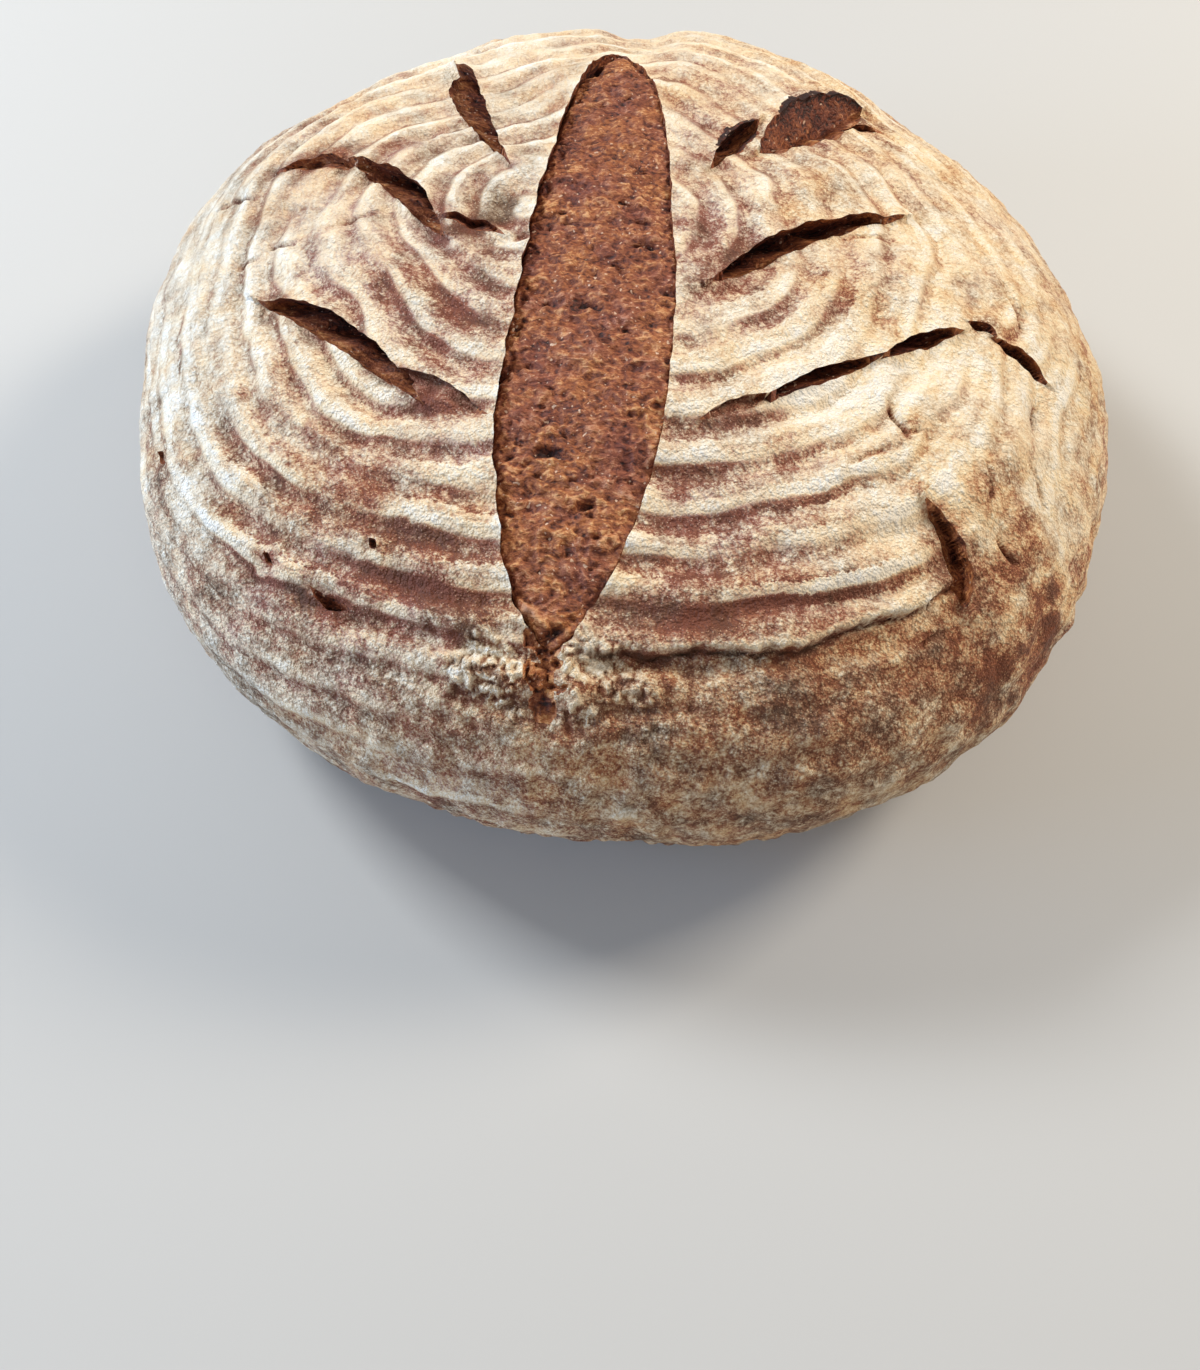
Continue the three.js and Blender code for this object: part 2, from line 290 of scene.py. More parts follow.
def ridge_profile(number):
    """1 on a ridge, which is narrow, and 0 in the middle of a furrow, which is round as the cane is."""
    round_wave = 0.5 + 0.5 * np.cos(2 * np.pi * number)
    return 0.45 * round_wave + 0.55 * (1 - np.abs(np.sin(np.pi * number)) ** 1.1)


def burst_distance(x, y):
    """How far outside the burst each place lies, in mm; it is below 0 inside."""
    from_centre = x - burst_centre(y)
    leftness = smooth(0.5 - from_centre / 10)
    scallop = (0.5 * leftness + 0.1) * (ridge_profile(ring_number(x, y)) - 0.5)
    half = burst_half(y)
    inside_ends = np.clip(half / 4, 0, 1)
    half += inside_ends * (0.4 * waver(y * 1.3, 3) + (0.5 + leftness) * waver(y * 0.31, 1) - scallop)
    half += TORN_END * smooth((-y - 84) / 10) * inside_ends * waver(y * 0.9, 4 + np.sign(from_centre))
    past = np.maximum(np.maximum(y - BURST["narrow_end"], BURST["wide_end"] - y), 0)
    across = np.abs(from_centre) - half
    return np.where(past > 0, np.hypot(np.maximum(across, 0), past), across)


def slash_distance(index, x, y):
    """The same for one slash, with the place along and across it and half its width there."""
    slash = SLASHES[index]
    along, across = along_and_across(slash, x, y)
    length = slash_axes(slash)[3]
    half = (0.5 * slash["gape"] + TIP_CLOSED) * opening(slash, along) - TIP_CLOSED
    half += waver(along * length, index) * np.clip(half / 1.5, 0, 1)
    past = np.maximum(np.maximum(-along, along - 1), 0) * length
    beyond = np.abs(across) - half
    return np.where(past > 0, np.hypot(np.maximum(beyond, 0), past), beyond), along, across, half


def nearest_edge(x, y):
    """How far outside the nearest opening each place lies."""
    distances = [slash_distance(index, x, y)[0] for index in range(len(SLASHES))]
    return np.min(distances + [burst_distance(x, y)], axis=0)


# %% [markdown]
# ## Hairline creases and a fold
# The skin dried before the inside stopped rising, so it cracked in hairlines. They are too fine to cut
# open, so each one is a narrow soft groove. Low on the right the crust folded over itself as the loaf
# slumped. Its line bends up to the right and runs out at both ends.

# %% Creases and the fold line
CREASES = [dict(zip(("start", "end", "bow", "depth"), row)) for row in [
    ((-100.5, 30.5), (-86, 26), 0.9, 2.0), ((-81, 6.4), (-73, 4.6), 0.4, 2.0),
    ((-89, 3), (-84, 4), 0.3, 1.2), ((56.5, -36.5), (61, -47.5), -0.8, 1.5),
    ((46.5, -54.6), (58.5, -48.6), 0.9, 1.0), ((75.5, -48.5), (75, -59.5), 1.6, 1.1),
    ((78.2, -64), (84, -69), -0.7, 1.5), ((60, -45.5), (63.5, -44), 0.2, 1.1),
    ((88, -44), (92, -56), 0.8, 0.9), ((70, -84), (62, -90), -0.8, 1.2), ((-52, 12), (-66, 6), -0.8, 0.8),
    ((52, 7), (66, 9), 0.8, 0.8), ((90, 2), (93, -12), 0.8, 0.9), ((96, -28), (92, -38), -0.8, 1.0),
]]
CREASE_WIDTH = 0.6


def crease_depth(x, y):
    """How deep the hairline creases are in each place, in mm."""
    deepest = np.zeros_like(x)
    for crease in CREASES:
        along, across = along_and_across(crease, x, y)
        taper = np.clip(4 * along * (1 - along), 0, 1) ** 0.7
        deepest = np.maximum(deepest, crease["depth"] * taper * hump(across / CREASE_WIDTH))
    return deepest


def fold_line(x):
    """How far to the front the fold lies, for each place from side to side."""
    return -98.2 + 0.0048 * np.maximum(x, -10) ** 2


def fold_reach(x):
    """1 where the fold is deep, 0 where it has run out."""
    return smooth((x + 6) / 10) * smooth((80 - x) / 16)


print(f"{len(CREASES)} creases, up to {max(crease['depth'] for crease in CREASES)} mm deep")

# %% [markdown]
# ## A sheet for the crust
# The crust starts as a square grid that is drawn into a disc, so its cells stay even from the top to the
# rim and there is no pole on the loaf's crown. Cells near an opening are cut in half, and points beside
# an outline are moved onto it, which gives every lip a clean edge.

# %% A square grid drawn into a disc
HALF_CELLS = 128
CROWN_CELLS = 0.885  # share of the cells that lies above the widest girth
bm = bmesh.new()
bmesh.ops.create_grid(bm, x_segments=2 * HALF_CELLS, y_segments=2 * HALF_CELLS, size=1)


def places(mesh):
    """The points of a mesh as three rows of numbers."""
    return np.array([vert.co[:] for vert in mesh.verts]).T


def to_disc(a, b):
    """Draws a square of side 2 into a disc: gives each place's share of the radius and its angle."""
    wide = np.abs(a) >= np.abs(b)
    share = np.where(wide, a, b)
    with np.errstate(divide="ignore", invalid="ignore"):
        angle = np.where(wide, b / a * math.pi / 4, math.pi / 2 - a / b * math.pi / 4)
    return share, np.nan_to_num(angle)


a, b, _ = places(bm)
share, angle = to_disc(a, b)
over_crust = np.sign(share) * np.interp(np.abs(share), [0, CROWN_CELLS, 1], [0, CROWN_LENGTH, FULL_LENGTH])
for vert, u, v in zip(bm.verts, over_crust * np.cos(angle), over_crust * np.sin(angle)):
    vert.co = (u, v, 0)
print(f"cells of about {CROWN_LENGTH / (HALF_CELLS * CROWN_CELLS):.1f} mm")

# %% Finer cells near the openings
FINE_BAND = 2.6
x, y, _ = places(bm)
near = nearest_edge(x, y) < FINE_BAND
near |= (np.abs(fold_line(x) - y) < FINE_BAND) & (fold_reach(x) > 0.1)
near |= np.hypot((x + 8) / 2.1, y + 103) < 11  # the crumbly place below the burst
for crease in CREASES:
    along, across = along_and_across(crease, x, y)
    near |= (np.abs(across) < 2.2) & (np.abs(along - 0.5) < 0.65)
deep_in_burst = burst_distance(x, y) < -FINE_BAND
bm.verts.ensure_lookup_table()
fine = [e for e in bm.edges if near[e.verts[0].index] and near[e.verts[1].index]
        and not (deep_in_burst[e.verts[0].index] and deep_in_burst[e.verts[1].index])]
bmesh.ops.subdivide_edges(bm, edges=fine, cuts=1, use_grid_fill=True)
print(f"crust sheet: {len(bm.verts)} points, {len(bm.faces)} cells")

# %% Points beside an outline move onto it
SNAP_REACH = 0.5
SLOPE_STEP = 0.05
EDGE_WIDTH = 0.08
x, y, _ = places(bm)
for _ in range(2):
    distance = nearest_edge(x, y)
    slope_x = (nearest_edge(x + SLOPE_STEP, y) - distance) / SLOPE_STEP
    slope_y = (nearest_edge(x, y + SLOPE_STEP) - distance) / SLOPE_STEP
    steep = np.maximum(slope_x**2 + slope_y**2, 0.25)
    move = np.where(np.abs(distance) < SNAP_REACH, distance / steep, 0)
    x, y = x - move * slope_x, y - move * slope_y
on_edge = np.abs(nearest_edge(x, y)) < EDGE_WIDTH
bm.verts.ensure_lookup_table()
for vert, u, v in zip(bm.verts, x, y):
    vert.co = (u, v, 0)
bmesh.ops.connect_verts(bm, verts=[bm.verts[i] for i in np.flatnonzero(on_edge)], check_degenerate=True)
print(f"{int(on_edge.sum())} points lie on the lips of the openings")

# %% [markdown]
# ## Relief of the crust
# Everything the crust does is a height over the loaf's section: the ridges of the basket, broad swellings,
# the hollow along each slash and the lip that curls up on its upper side. Ridges stand highest low down
# on the front, where the dough was pressed into the basket, and fade at the middle of the top.

# %% The ridges and the swellings
def streaks(x, y, along, across, seed):
    """Noise drawn out along the rings: its size along them and across them, in mm."""
    around = np.arctan2(y - RING_CENTRE[1], x - RING_CENTRE[0])
    out = ring_number(x, y) * RING_PITCH / across
    ring = 80 / along
    return np.array([noise.noise(Vector((ring * math.cos(a), ring * math.sin(a), o + 9.7 * seed)))
                     for a, o in zip(around, out)])


number = ring_number(x, y)
drift = 0.20 * lumps(x, y, 26, 1) + 0.10 * lumps(x, y, 9, 2)
long_streaks = streaks(x, y, 34, 9, 1)
short_streaks = streaks(x, y, 13, 3.2, 2)
ridge = ridge_profile(number + drift)
small_ridge = ridge_profile(2 * (number + drift) + 0.45)
from_middle = np.hypot(x - RING_CENTRE[0], y - RING_CENTRE[1])
ring_depth = 1.35 * smooth((from_middle - 7) / 14) * smooth((168 - from_middle) / 40)
ring_depth *= 0.64 + 0.56 * smooth((-y - 10) / 50) - 0.45 * smooth((x - 62) / 30)
ring_depth = ring_depth * (1 - 0.75 * smooth((-x - 82) / 20)) * (1 - 0.6 * smooth((from_middle - 104) / 22))
ring_depth *= np.clip(1 + 0.8 * long_streaks, 0.45, 1.5)
lost_rings = smooth((x - 56) / 16) * smooth((-y - 34) / 18)
ring_depth *= 1 - 0.8 * lost_rings
small_depth = 0.42 * smooth((from_middle - 20) / 20) * smooth((150 - from_middle) / 30)
small_depth *= 1 - 0.7 * lost_rings
raised = ring_depth * (ridge - 0.45) + small_depth * (small_ridge - 0.4) + 0.35 * short_streaks
raised = raised + 1.5 * lumps(x, y, 46, 4) + 0.9 * lumps(x, y, 19, 5) + 0.42 * lumps(x, y, 7.5, 6)
raised = raised + 0.30 * lumps(x, y, 3.4, 7) + 0.16 * lumps(x, y, 1.9, 10)
raised += lost_rings * (1.1 * lumps(x, y, 13, 38) + 0.7 * lumps(x, y, 5.5, 39))
print(f"ridges up to {ring_depth.max():.1f} mm high")

# %% [markdown]
# The loaf is not round to the millimetre. The crust folds in past the burst's upper end, and stands up
# or sinks in broad areas between the slashes.

# %% Broad swellings and hollows
SWELLINGS = [  # place, size, turned, height
    ((8, 104), (9, 34), 0, -2.6), ((-22, 104), (24, 22), 0, 0.2), ((38, 104), (22, 20), 0, 0.5),
    ((-76, 86), (22, 14), 45, -1.8), ((-58, 12), (20, 9), 30, 1.2), ((-24, 24), (10, 12), 0, 1.0),
    ((-58, -6), (22, 8), -28, 1.4), ((48, 24), (22, 8), 28, 1.4), ((48, -10), (26, 9), 24, 1.6),
    ((66, -46), (22, 14), 20, 1.6), ((80, -48), (14, 22), 0, 1.0), ((78, 70), (16, 16), 0, -1.4),
    ((-112, 36), (22, 22), 0, -2.0), ((-50, 96), (16, 14), 0, -1.0), ((52, 98), (16, 14), 0, -0.8),
    ((68.5, -53.5), (7, 5.5), 0, 1.3), ((-21, -0.6), (6, 1.6), 10, -1.1), ((-25, 9), (6.5, 4.5), 10, -0.9),
]
add_patches(raised, x, y, SWELLINGS)
print(f"{len(SWELLINGS)} swellings and hollows, {min(row[3] for row in SWELLINGS)} to "
      f"{max(row[3] for row in SWELLINGS)} mm")

# %% [markdown]
# Below the ridges at the front, the loaf's edge stuck to the peel and crumbled. There is a fold in the
# crust over it, low on the right, where the loaf slumped.

# %% The crumbly foot and the fold over it
FOLD_DROP = 2.3
past_fold = fold_line(x) - y
folded = fold_reach(x)
wavy_fold = past_fold + 1.3 * lumps(x, y, 9, 36) + 0.7 * lumps(x, y, 3, 37) + 0.4 * lumps(x, y, 1.5, 46)
raised -= FOLD_DROP * folded * smooth((wavy_fold + 0.2) / 0.9) * fading(past_fold, 22)
raised += 0.4 * folded * hump((wavy_fold + 1.3) / 1.2)
raised -= 0.9 * folded * hump((wavy_fold - 1.0) / 0.6)
crumbly = smooth((-y - 90) / 14) * smooth((from_middle - 92) / 10)
crumbly *= 0.35 + 0.65 * smooth((70 - np.abs(x)) / 30)
raised += crumbly * (0.75 * lumps(x, y, 5.2, 8) + 0.45 * lumps(x, y, 2.6, 9))
billows = 0.8 * np.abs(lumps(x, y, 3.4, 19)) + 0.8 * np.abs(lumps(x, y, 1.9, 20))
billows = billows + 0.6 * np.abs(lumps(x, y, 1.1, 30)) - 0.32
beside_end = smooth((burst_distance(x, y) + 0.2) / 1.2)
torn_end = (patch(x, y, (-9, -106), (25, 12)) + 0.5 * patch(x, y, (-34, -100), (18, 10))) * beside_end
torn_end *= smooth(1.2 + 2 * lumps(x, y, 8, 35))
raised += torn_end * (2.0 * billows + 0.3)
channel = 3.4 - 0.10 * np.clip(-y - 98, 0, 20) + 4.4 * lumps(x, y, 5, 27) + 2.6 * lumps(x, y, 2.1, 28)
rubble = smooth((channel - np.abs(x + 10.4)) / 0.7) * smooth((-y - 95) / 2) * smooth((y + 116) / 6)
raised = raised - 1.5 * rubble + 1.6 * rubble * billows
print(f"the fold drops {FOLD_DROP} mm, and the torn foot swells {(2 * torn_end * billows).max():.1f} mm")

# %% [markdown]
# ## Cutting the openings
# Along a slash the crust sinks into a long hollow. On the upper side it curled up into a lip, which hangs
# over the cut a little, so points have to move sideways as well as up and down. Narrow and shallow cuts
# lift the crust less.

# %% Lips and hollows along the slashes
LIP_REACH = 9
LIP_HEIGHT = 2.4
LIP_OVERHANG = 0.9
HOLLOW_REACH = 12
HOLLOW_DEPTH = 1.9
wrap_x, wrap_y = x.copy(), y.copy()


def upper_side(slash):
    """1 where the lip is on the left of the slash, -1 where it is on the right."""
    return 1 if slash["lean"] >= 0 else -1


def lifted(slash, along):
    """How much a slash moved the crust, for each place along it and a little past its ends."""
    spread = opening(slash, np.clip((along + 0.12) / 1.24, 0, 1))
    return spread * min(1, slash["gape"] / 6) * min(1, slash["depth"] / 5)


for index, slash in enumerate(SLASHES):
    distance, along, across, half = slash_distance(index, x, y)
    up = across * upper_side(slash)
    lift = lifted(slash, along)
    lip = np.where(up > 0, fading(up - half, LIP_REACH), 0)
    hollow = hump(np.maximum(np.abs(up) - half, 0) / HOLLOW_REACH) * np.where(up > 0, 0.25, 1)
    raised += np.where(distance > -EDGE_WIDTH, lift * (LIP_HEIGHT * lip - HOLLOW_DEPTH * hollow), 0)
    overhang = LIP_OVERHANG * lift * lip * fading(up - half, 2.5) * upper_side(slash)
    overhang = np.where(distance < -EDGE_WIDTH, 0, overhang)
    left = slash_axes(slash)[2]
    wrap_x -= overhang * left.x
    wrap_y -= overhang * left.y
print(f"lips up to {LIP_HEIGHT} mm high, hollows up to {HOLLOW_DEPTH} mm deep")

# %% [markdown]
# Inside a slash the sheet goes down a torn slope from the lower lip, and reaches its depth under the upper
# lip. From there it climbs the wall back to the lip. Slits that only cut the skin show bare crust, and
# deeper ones show torn crumb with shade painted into it: darker the deeper it lies and the nearer it comes
# to the upper lip, and dark in narrow cuts.

# %% Insides of the slashes
SKIN_DEPTH = 1.5
TIP_WIDTH = 0.9
torn, bare, deep = (np.zeros_like(x) for _ in range(3))
for index, slash in enumerate(SLASHES):
    distance, along, across, half = slash_distance(index, x, y)
    left, length = slash_axes(slash)[2:]
    lift = lifted(slash, along)
    inside = distance < -EDGE_WIDTH
    up = across * upper_side(slash)
    open_share = opening(slash, along) * np.where((along > 0) & (along < 1), 1, 0)
    bottom = slash["depth"] * open_share**0.8 * (1 + 0.16 * np.sin(along * length / 2.1 + index))
    bottom *= smooth(half / min(TIP_WIDTH, 0.35 * slash["gape"]))
    across_share = np.clip(up / np.maximum(half, 0.3), -1, 1)
    deepest = slash.get("foot", 0.45)
    on_slope = np.clip((across_share + 1) / (1 + deepest), 0, 1)
    on_wall = np.clip((across_share - deepest) / (1 - deepest), 0, 1)
    far_side = half * min(1, deepest + 0.55) + abs(slash["lean"]) * bottom
    slope_at = -half + (half + far_side) * on_slope
    wall_at = far_side + (half - far_side) * on_wall**2
    push = np.where(inside, np.where(on_wall > 0, wall_at, slope_at) - up, 0) * upper_side(slash)
    wrap_x += push * left.x
    wrap_y += push * left.y
    fallen = bottom * (0.14 + 0.86 * on_slope**0.85) * (1 - on_wall**2.5)
    fallen += HOLLOW_DEPTH * lift * (1 - on_slope)
    fallen -= 0.8 * LIP_HEIGHT * lift * on_wall
    raised = np.where(inside, raised - fallen, raised)
    only_skin = slash["depth"] <= SKIN_DEPTH
    torn = np.maximum(torn, 0 if only_skin else inside)
    bare = np.maximum(bare, inside if only_skin else 0)
    # Painted shade, kept in deep: more the deeper a point lies and the nearer it is to the upper lip, and
    # more in narrow cuts. The slash with a foot also darkens up its wall towards its charred rim.
    shade = fallen / 7 * (0.3 + 0.8 * on_slope)
    if "foot" in slash:
        shade = 0.6 * shade + 1.3 * on_wall**3
    narrow_cut_shade = np.clip((5.2 - slash["gape"]) / 3, 0, 0.9)
    deep = np.maximum(deep, np.where(inside, np.maximum(shade, narrow_cut_shade), 0))
print(f"{len(SLASHES)} slashes and cracks, {int(torn.sum())} points inside the deep ones")

# %% [markdown]
# Where a lip stood up thin it burned, so its rim is ragged and charred: the torn finish goes on past the
# edge there, at its darkest. The points on all other lips are half dark, as painted shade where the wall
# of an opening meets its lip.

# %% Charred rims
CHARRED = [  # place, size, turned, width: where a lip stood up and burned
    ((50, 65), (19, 8), 40, 2.0),
    ((29, 39), (7, 4), 50, 1.2),
]
to_edge = nearest_edge(x, y)
for centre, size, turned, width in CHARRED:
    burned = width * (0.8 + 0.9 * lumps(x, y, 3.2, 40)) * patch(x, y, centre, size, turned)
    beside = (burned > 0.3) & (torn < 0.5)
    deep = np.where(beside & (to_edge < burned + 1.6), 1.25, deep)
    torn = np.where(beside & (to_edge < burned), 1, torn)
# Painted shade: torn faces darken where their wall meets a lip.
deep = np.where((np.abs(to_edge) < EDGE_WIDTH) & (deep == 0), 0.5, deep)
print(f"{int((deep == 1.25).sum())} points are charred")

# %% [markdown]
# Inside the burst the sheet only has to get out of the crumb's way, so it drops to a floor under it. The
# left edge stands proud and is undercut, which gives it the dark line of a lifted skin. The sheet's torn
# faces in there are painted dark as shade, darkest under the left edge.

# %% The burst's edges
BURST_FLOOR = 7
edge = burst_distance(x, y)
from_centre = x - burst_centre(y)
leftness = smooth(0.5 - from_centre / 12)
ends = smooth(burst_half(y) / 9)
inside_burst = edge < -EDGE_WIDTH
raised += np.where(edge > -EDGE_WIDTH, ends * leftness * 1.5 * fading(edge, 6), 0)
raised += np.where(edge > -EDGE_WIDTH, ends * (1 - leftness) * 0.5 * fading(edge, 4), 0)
fallen = BURST_FLOOR * np.clip(-edge / 1.1, 0, 1)
undercut = (0.5 + 3.6 * leftness) * smooth(burst_half(y) / 5) * np.clip(-edge / 1.1, 0, 1)
undercut *= fading(-edge - 1.1, 3)
raised = np.where(inside_burst, raised - fallen, raised)
wrap_x += np.where(inside_burst, np.sign(from_centre) * undercut, 0)
torn = np.maximum(torn, np.where(inside_burst, 1, 0))
# Painted shade on the sheet inside the burst, darkest under the undercut left edge.
deep = np.maximum(deep, np.where(inside_burst, 0.35 + 0.6 * leftness, 0))
torn = np.maximum(torn, rubble)
# The rubble at the torn foot is a darker brown, and darker still between its lumps as painted shade.
deep = np.maximum(deep, (0.60 - 1.1 * billows) * rubble)
print(f"the crust's sheet drops {BURST_FLOOR} mm inside the burst, at {int(inside_burst.sum())} points")

# %% [markdown]
# Gas bubbles close under the skin leave dents, and a few small swellings, whose depth is below 0. The
# creases go in with them.

# %% Pits
PITS = [  # place, width and height, turned, depth
    ((-71, -77), (3.4, 3.0), 0, 0.9), ((-57, -87), (6.2, 2.6), -38, 1.0), ((-107, -46), (4.2, 4.0), 0, 1.0),
    ((-51.5, -93), (3.2, 1.5), -10, 1.3), ((-96, -31), (3.2, 4.5), 20, 1.0),
    ((33.5, -73), (2.4, 3.0), 0, 0.9), ((67, 35), (0.9, 5.0), 0, 1.2), ((-44, 41), (2.4, 2.0), 0, 1.0),
    ((30, 62), (2.2, 2.2), 0, 0.9), ((-64, -52), (7, 2.6), -35, 1.1), ((-37.5, -28.5), (1.5, 1.2), 0, -1.3),
    ((-34.5, -29.5), (0.9, 0.9), 0, -0.9),
]
add_patches(raised, x, y, PITS, -1)
creased = crease_depth(x, y)
raised -= creased
print(f"{len(PITS)} pits and dents, and creases at {int((creased > 0.2).sum())} points")

# %% [markdown]
# ## How the flour lies
# Flour stays where the basket pressed it on, so the ridges are cream and the furrows show the brown
# crust through a thin dusting. It was brushed off in places and lies thickest towards the left edge.
# The amount is kept on the points of the mesh, from 0 for bare crust to 1 for thick flour. First come the
# places where it was brushed off or lies thicker than usual.

# %% Where flour came off and where it lies thick
BRUSHED_OFF = [  # place, size, turned, how much less flour
    ((-62, -62), (30, 10), -28, 0.14), ((-40, -84), (18, 9), -5, 0.26), ((-66, -84), (12, 6), -32, 0.42),
    ((-71, -75.5), (4, 3), 0, 0.25), ((-34, -90), (6, 5), 30, 0.36), ((-36, -43), (12, 4.0), -35, 0.36),
    ((-31, -24), (10, 7), -30, 0.16), ((-31, 8), (12, 12), 0, 0.12), ((-26, 30), (9, 16), 0, 0.10),
    ((22, 4), (7, 16), 10, 0.10), ((26, -45), (10, 4), 25, 0.30), ((22.7, -77), (1.7, 4.5), 0, 0.34),
    ((22, -64), (14, 12), 8, 0.12), ((30, -76), (26, 18), 5, 0.08), ((22, -11), (5, 3), 30, 0.30),
    ((26.5, -3), (3.5, 6), -20, 0.24), ((-32, -97), (10, 3.5), -5, 0.22), ((-40, -14), (24, 22), 0, 0.09),
    ((-46, 26), (20, 20), 0, 0.04), ((20, 16), (12, 30), 0, 0.07), ((58, 8), (26, 22), 0, 0.06),
    ((96, 10), (16, 40), 0, 0.05), ((-25, 9), (6.5, 4.5), 10, 0.15), ((-26, -93.5), (7, 4), 10, 0.40),
    ((62, -58.5), (3.5, 2.2), -50, 0.40), ((100, -86), (12, 10), 0, 0.10), ((26, -85), (20, 7), 8, 0.26),
    ((14, -91), (18, 6), 4, 0.30), ((98, -78), (8, 18), 35, 0.20), ((30, -106), (46, 9), 10, 0.12),
    ((78, -92), (22, 7), 32, 0.12), ((-20, -110), (34, 8), 0, 0.12), ((68, 60), (8, 6), 0, 0.20),
    ((-70, 36), (14, 4), 5, 0.40), ((-30, 4), (9, 3.5), 15, 0.40), ((86, -14), (7, 4), -10, 0.30),
    ((68, -69), (6, 11), 35, 0.30), ((-106, -50), (5, 7), 0, 0.30),
]
FLOURED = [  # place, size, turned, how much more flour
    ((-102, -20), (26, 70), 0, 0.16), ((84, 10), (30, 60), 0, 0.19), ((48, -32), (34, 16), 12, 0.20),
    ((54, -62), (26, 14), 10, 0.20), ((46, 12), (26, 16), 12, 0.08), ((-62, -40), (36, 24), -30, 0.05),
    ((-20, -54), (16, 12), 0, 0.10), ((24, -58), (14, 20), 0, 0.08), ((-60, 10), (26, 14), 30, 0.12),
    ((70, -30), (22, 14), 15, 0.06), ((0, 92), (80, 26), 0, 0.16), ((32, -44), (22, 7), 18, 0.14),
    ((60, -68), (10, 14), 0, 0.12), ((-24, 28), (12, 18), 0, 0.10), ((-44, 62), (26, 24), 30, 0.10),
    ((30, 36), (18, 30), 0, 0.08), ((102, -40), (16, 36), 0, 0.14), ((-22, 16), (8, 14), 0, 0.07),
]
print(f"{len(BRUSHED_OFF)} places brushed off, {len(FLOURED)} floured more")

# %% [markdown]
# The bands of flour along the rings have sharper edges than the mesh can hold, so the mesh only keeps
# how strong they are. The finish draws them later from the number of the ring. They are strongest low
# on the front and fade towards the rim, under the fold and where the rings themselves are lost. A second
# set of thin bands lies between them on the right.

# %% Strength of the bands
THIN_FLOUR = 0.27
low_front = smooth((-y - 38) / 26) * smooth((104 - np.abs(x)) / 30)
under_fold = smooth((x + 30 + 16 * lumps(x, y, 14, 47)) / 46) * smooth((86 - x) / 24) * smooth(past_fold / 3)
rightness = smooth((x - 14) / 30)
outer = smooth((from_middle - 100) / 25)
broken = np.clip(1 + 1.8 * long_streaks + 1.1 * lumps(x, y, 15, 43), 0, 1.7)
banding = 0.17 + 0.34 * low_front + 0.12 * patch(x, y, (-36, -18), (20, 20))
banding += 0.24 * patch(x, y, (42, -12), (34, 16), 22)
banding = banding * (1 - 0.65 * outer) * (1 - 0.6 * smooth((-x - 82) / 20)) * (1 - 0.30 * rightness)
banding = banding * (1 - 0.9 * under_fold) * (1 - 0.9 * lost_rings) * (1 - 0.5 * smooth((x - 62) / 22))
thin_banding = (0.10 + 0.20 * rightness * low_front) * (1 - 0.9 * under_fold)
thin_banding = thin_banding * (1 - 0.9 * lost_rings) * broken
print(f"bands up to {banding.max():.2f} strong, thin ones up to {thin_banding.max():.2f}")

# %% Amount of flour
flour = 0.61 + 0.12 * long_streaks + 0.24 * short_streaks * (1 - 0.6 * lost_rings)
flour = flour + 0.10 * lumps(x, y, 22, 11) + 0.11 * lumps(x, y, 7, 12) + 0.10 * lumps(x, y, 3, 13)
flour += lost_rings * (0.26 * lumps(x, y, 12, 41) + 0.16 * lumps(x, y, 5, 42))
scabs = smooth((lumps(x, y, 10, 44) + 0.4 * lumps(x, y, 3.5, 45) - 0.02) / 0.16)
flour -= (0.12 + 0.40 * scabs) * patch(x, y, (90, -86), (32, 22), 38)
banding = np.minimum(banding * broken, np.maximum(flour - THIN_FLOUR, 0) / 0.6)
# Painted shade in the fold's groove, which gets less flour and greyer crust. Along its lip there is more
# flour, which also makes a painted highlight there.
groove = folded * hump((wavy_fold - 0.9) / 0.6)
flour = flour - 0.46 * groove - 0.14 * under_fold * smooth((66 - x) / 20) - 0.34 * creased
flour += 0.22 * folded * hump((wavy_fold + 0.7) / 0.7)
uneven = 1 + 0.5 * lumps(x, y, 6, 14)
add_patches(flour, x, y, BRUSHED_OFF, -uneven)
add_patches(flour, x, y, FLOURED)
crumbled = flour + 1.5 * billows - 0.12
flour += torn_end * (np.minimum(crumbled, 0.84) - flour)
flour = np.where(bare > 0, np.minimum(flour, 0.16), flour)
flour += 0.16 * fading(edge, 2) * ends
flour -= 0.30 * smooth((np.hypot(x, y) - 146) / 30)
banding = np.where(bare > 0, 0, banding * (1 - torn_end))
loose = 1 - 0.45 * smooth((y + 20) / 40) * smooth((40 - x) / 40)
print(f"flour from {flour.min():.2f} to {flour.max():.2f}, {flour.mean():.2f} on average")

# %% [markdown]
# The crust under the flour is not one colour. It baked golden where the heat reached it, low on the front,
# and greyish where the rye flour was damp or lay thick. It is also more golden towards the right and greyer
# on the left: part baked tone, part painted warm light from the right and painted cool light from the left.

# %% How golden and how grey the crust is
GOLDEN = [  # place, size, turned, how much more golden
    ((82, -80), (26, 24), 30, 0.5), ((68, -54), (9, 8), 0, 0.6), ((-66, -84), (16, 9), -30, -0.2),
    ((-44, -4), (34, 34), 0, -0.35), ((22, 14), (14, 34), 0, -0.35), ((48, -110), (66, 18), 0, 0.6),
    ((83, -12), (7, 5), 0, 0.4),
]
GREY = [((-30, 36), (24, 42), 0, 0.34), ((-25, 9), (7, 5), 10, 0.6)]
toast = 0.5 + 0.3 * lumps(x, y, 30, 15) + 0.2 * lumps(x, y, 10, 16)
# More golden towards the right: part baked tone, part painted warm light.
toast = toast + 0.3 * smooth((x - 28) / 26) * smooth((y + 60) / 40) + 0.3 * lost_rings + 0.4 * under_fold
add_patches(toast, x, y, GOLDEN)
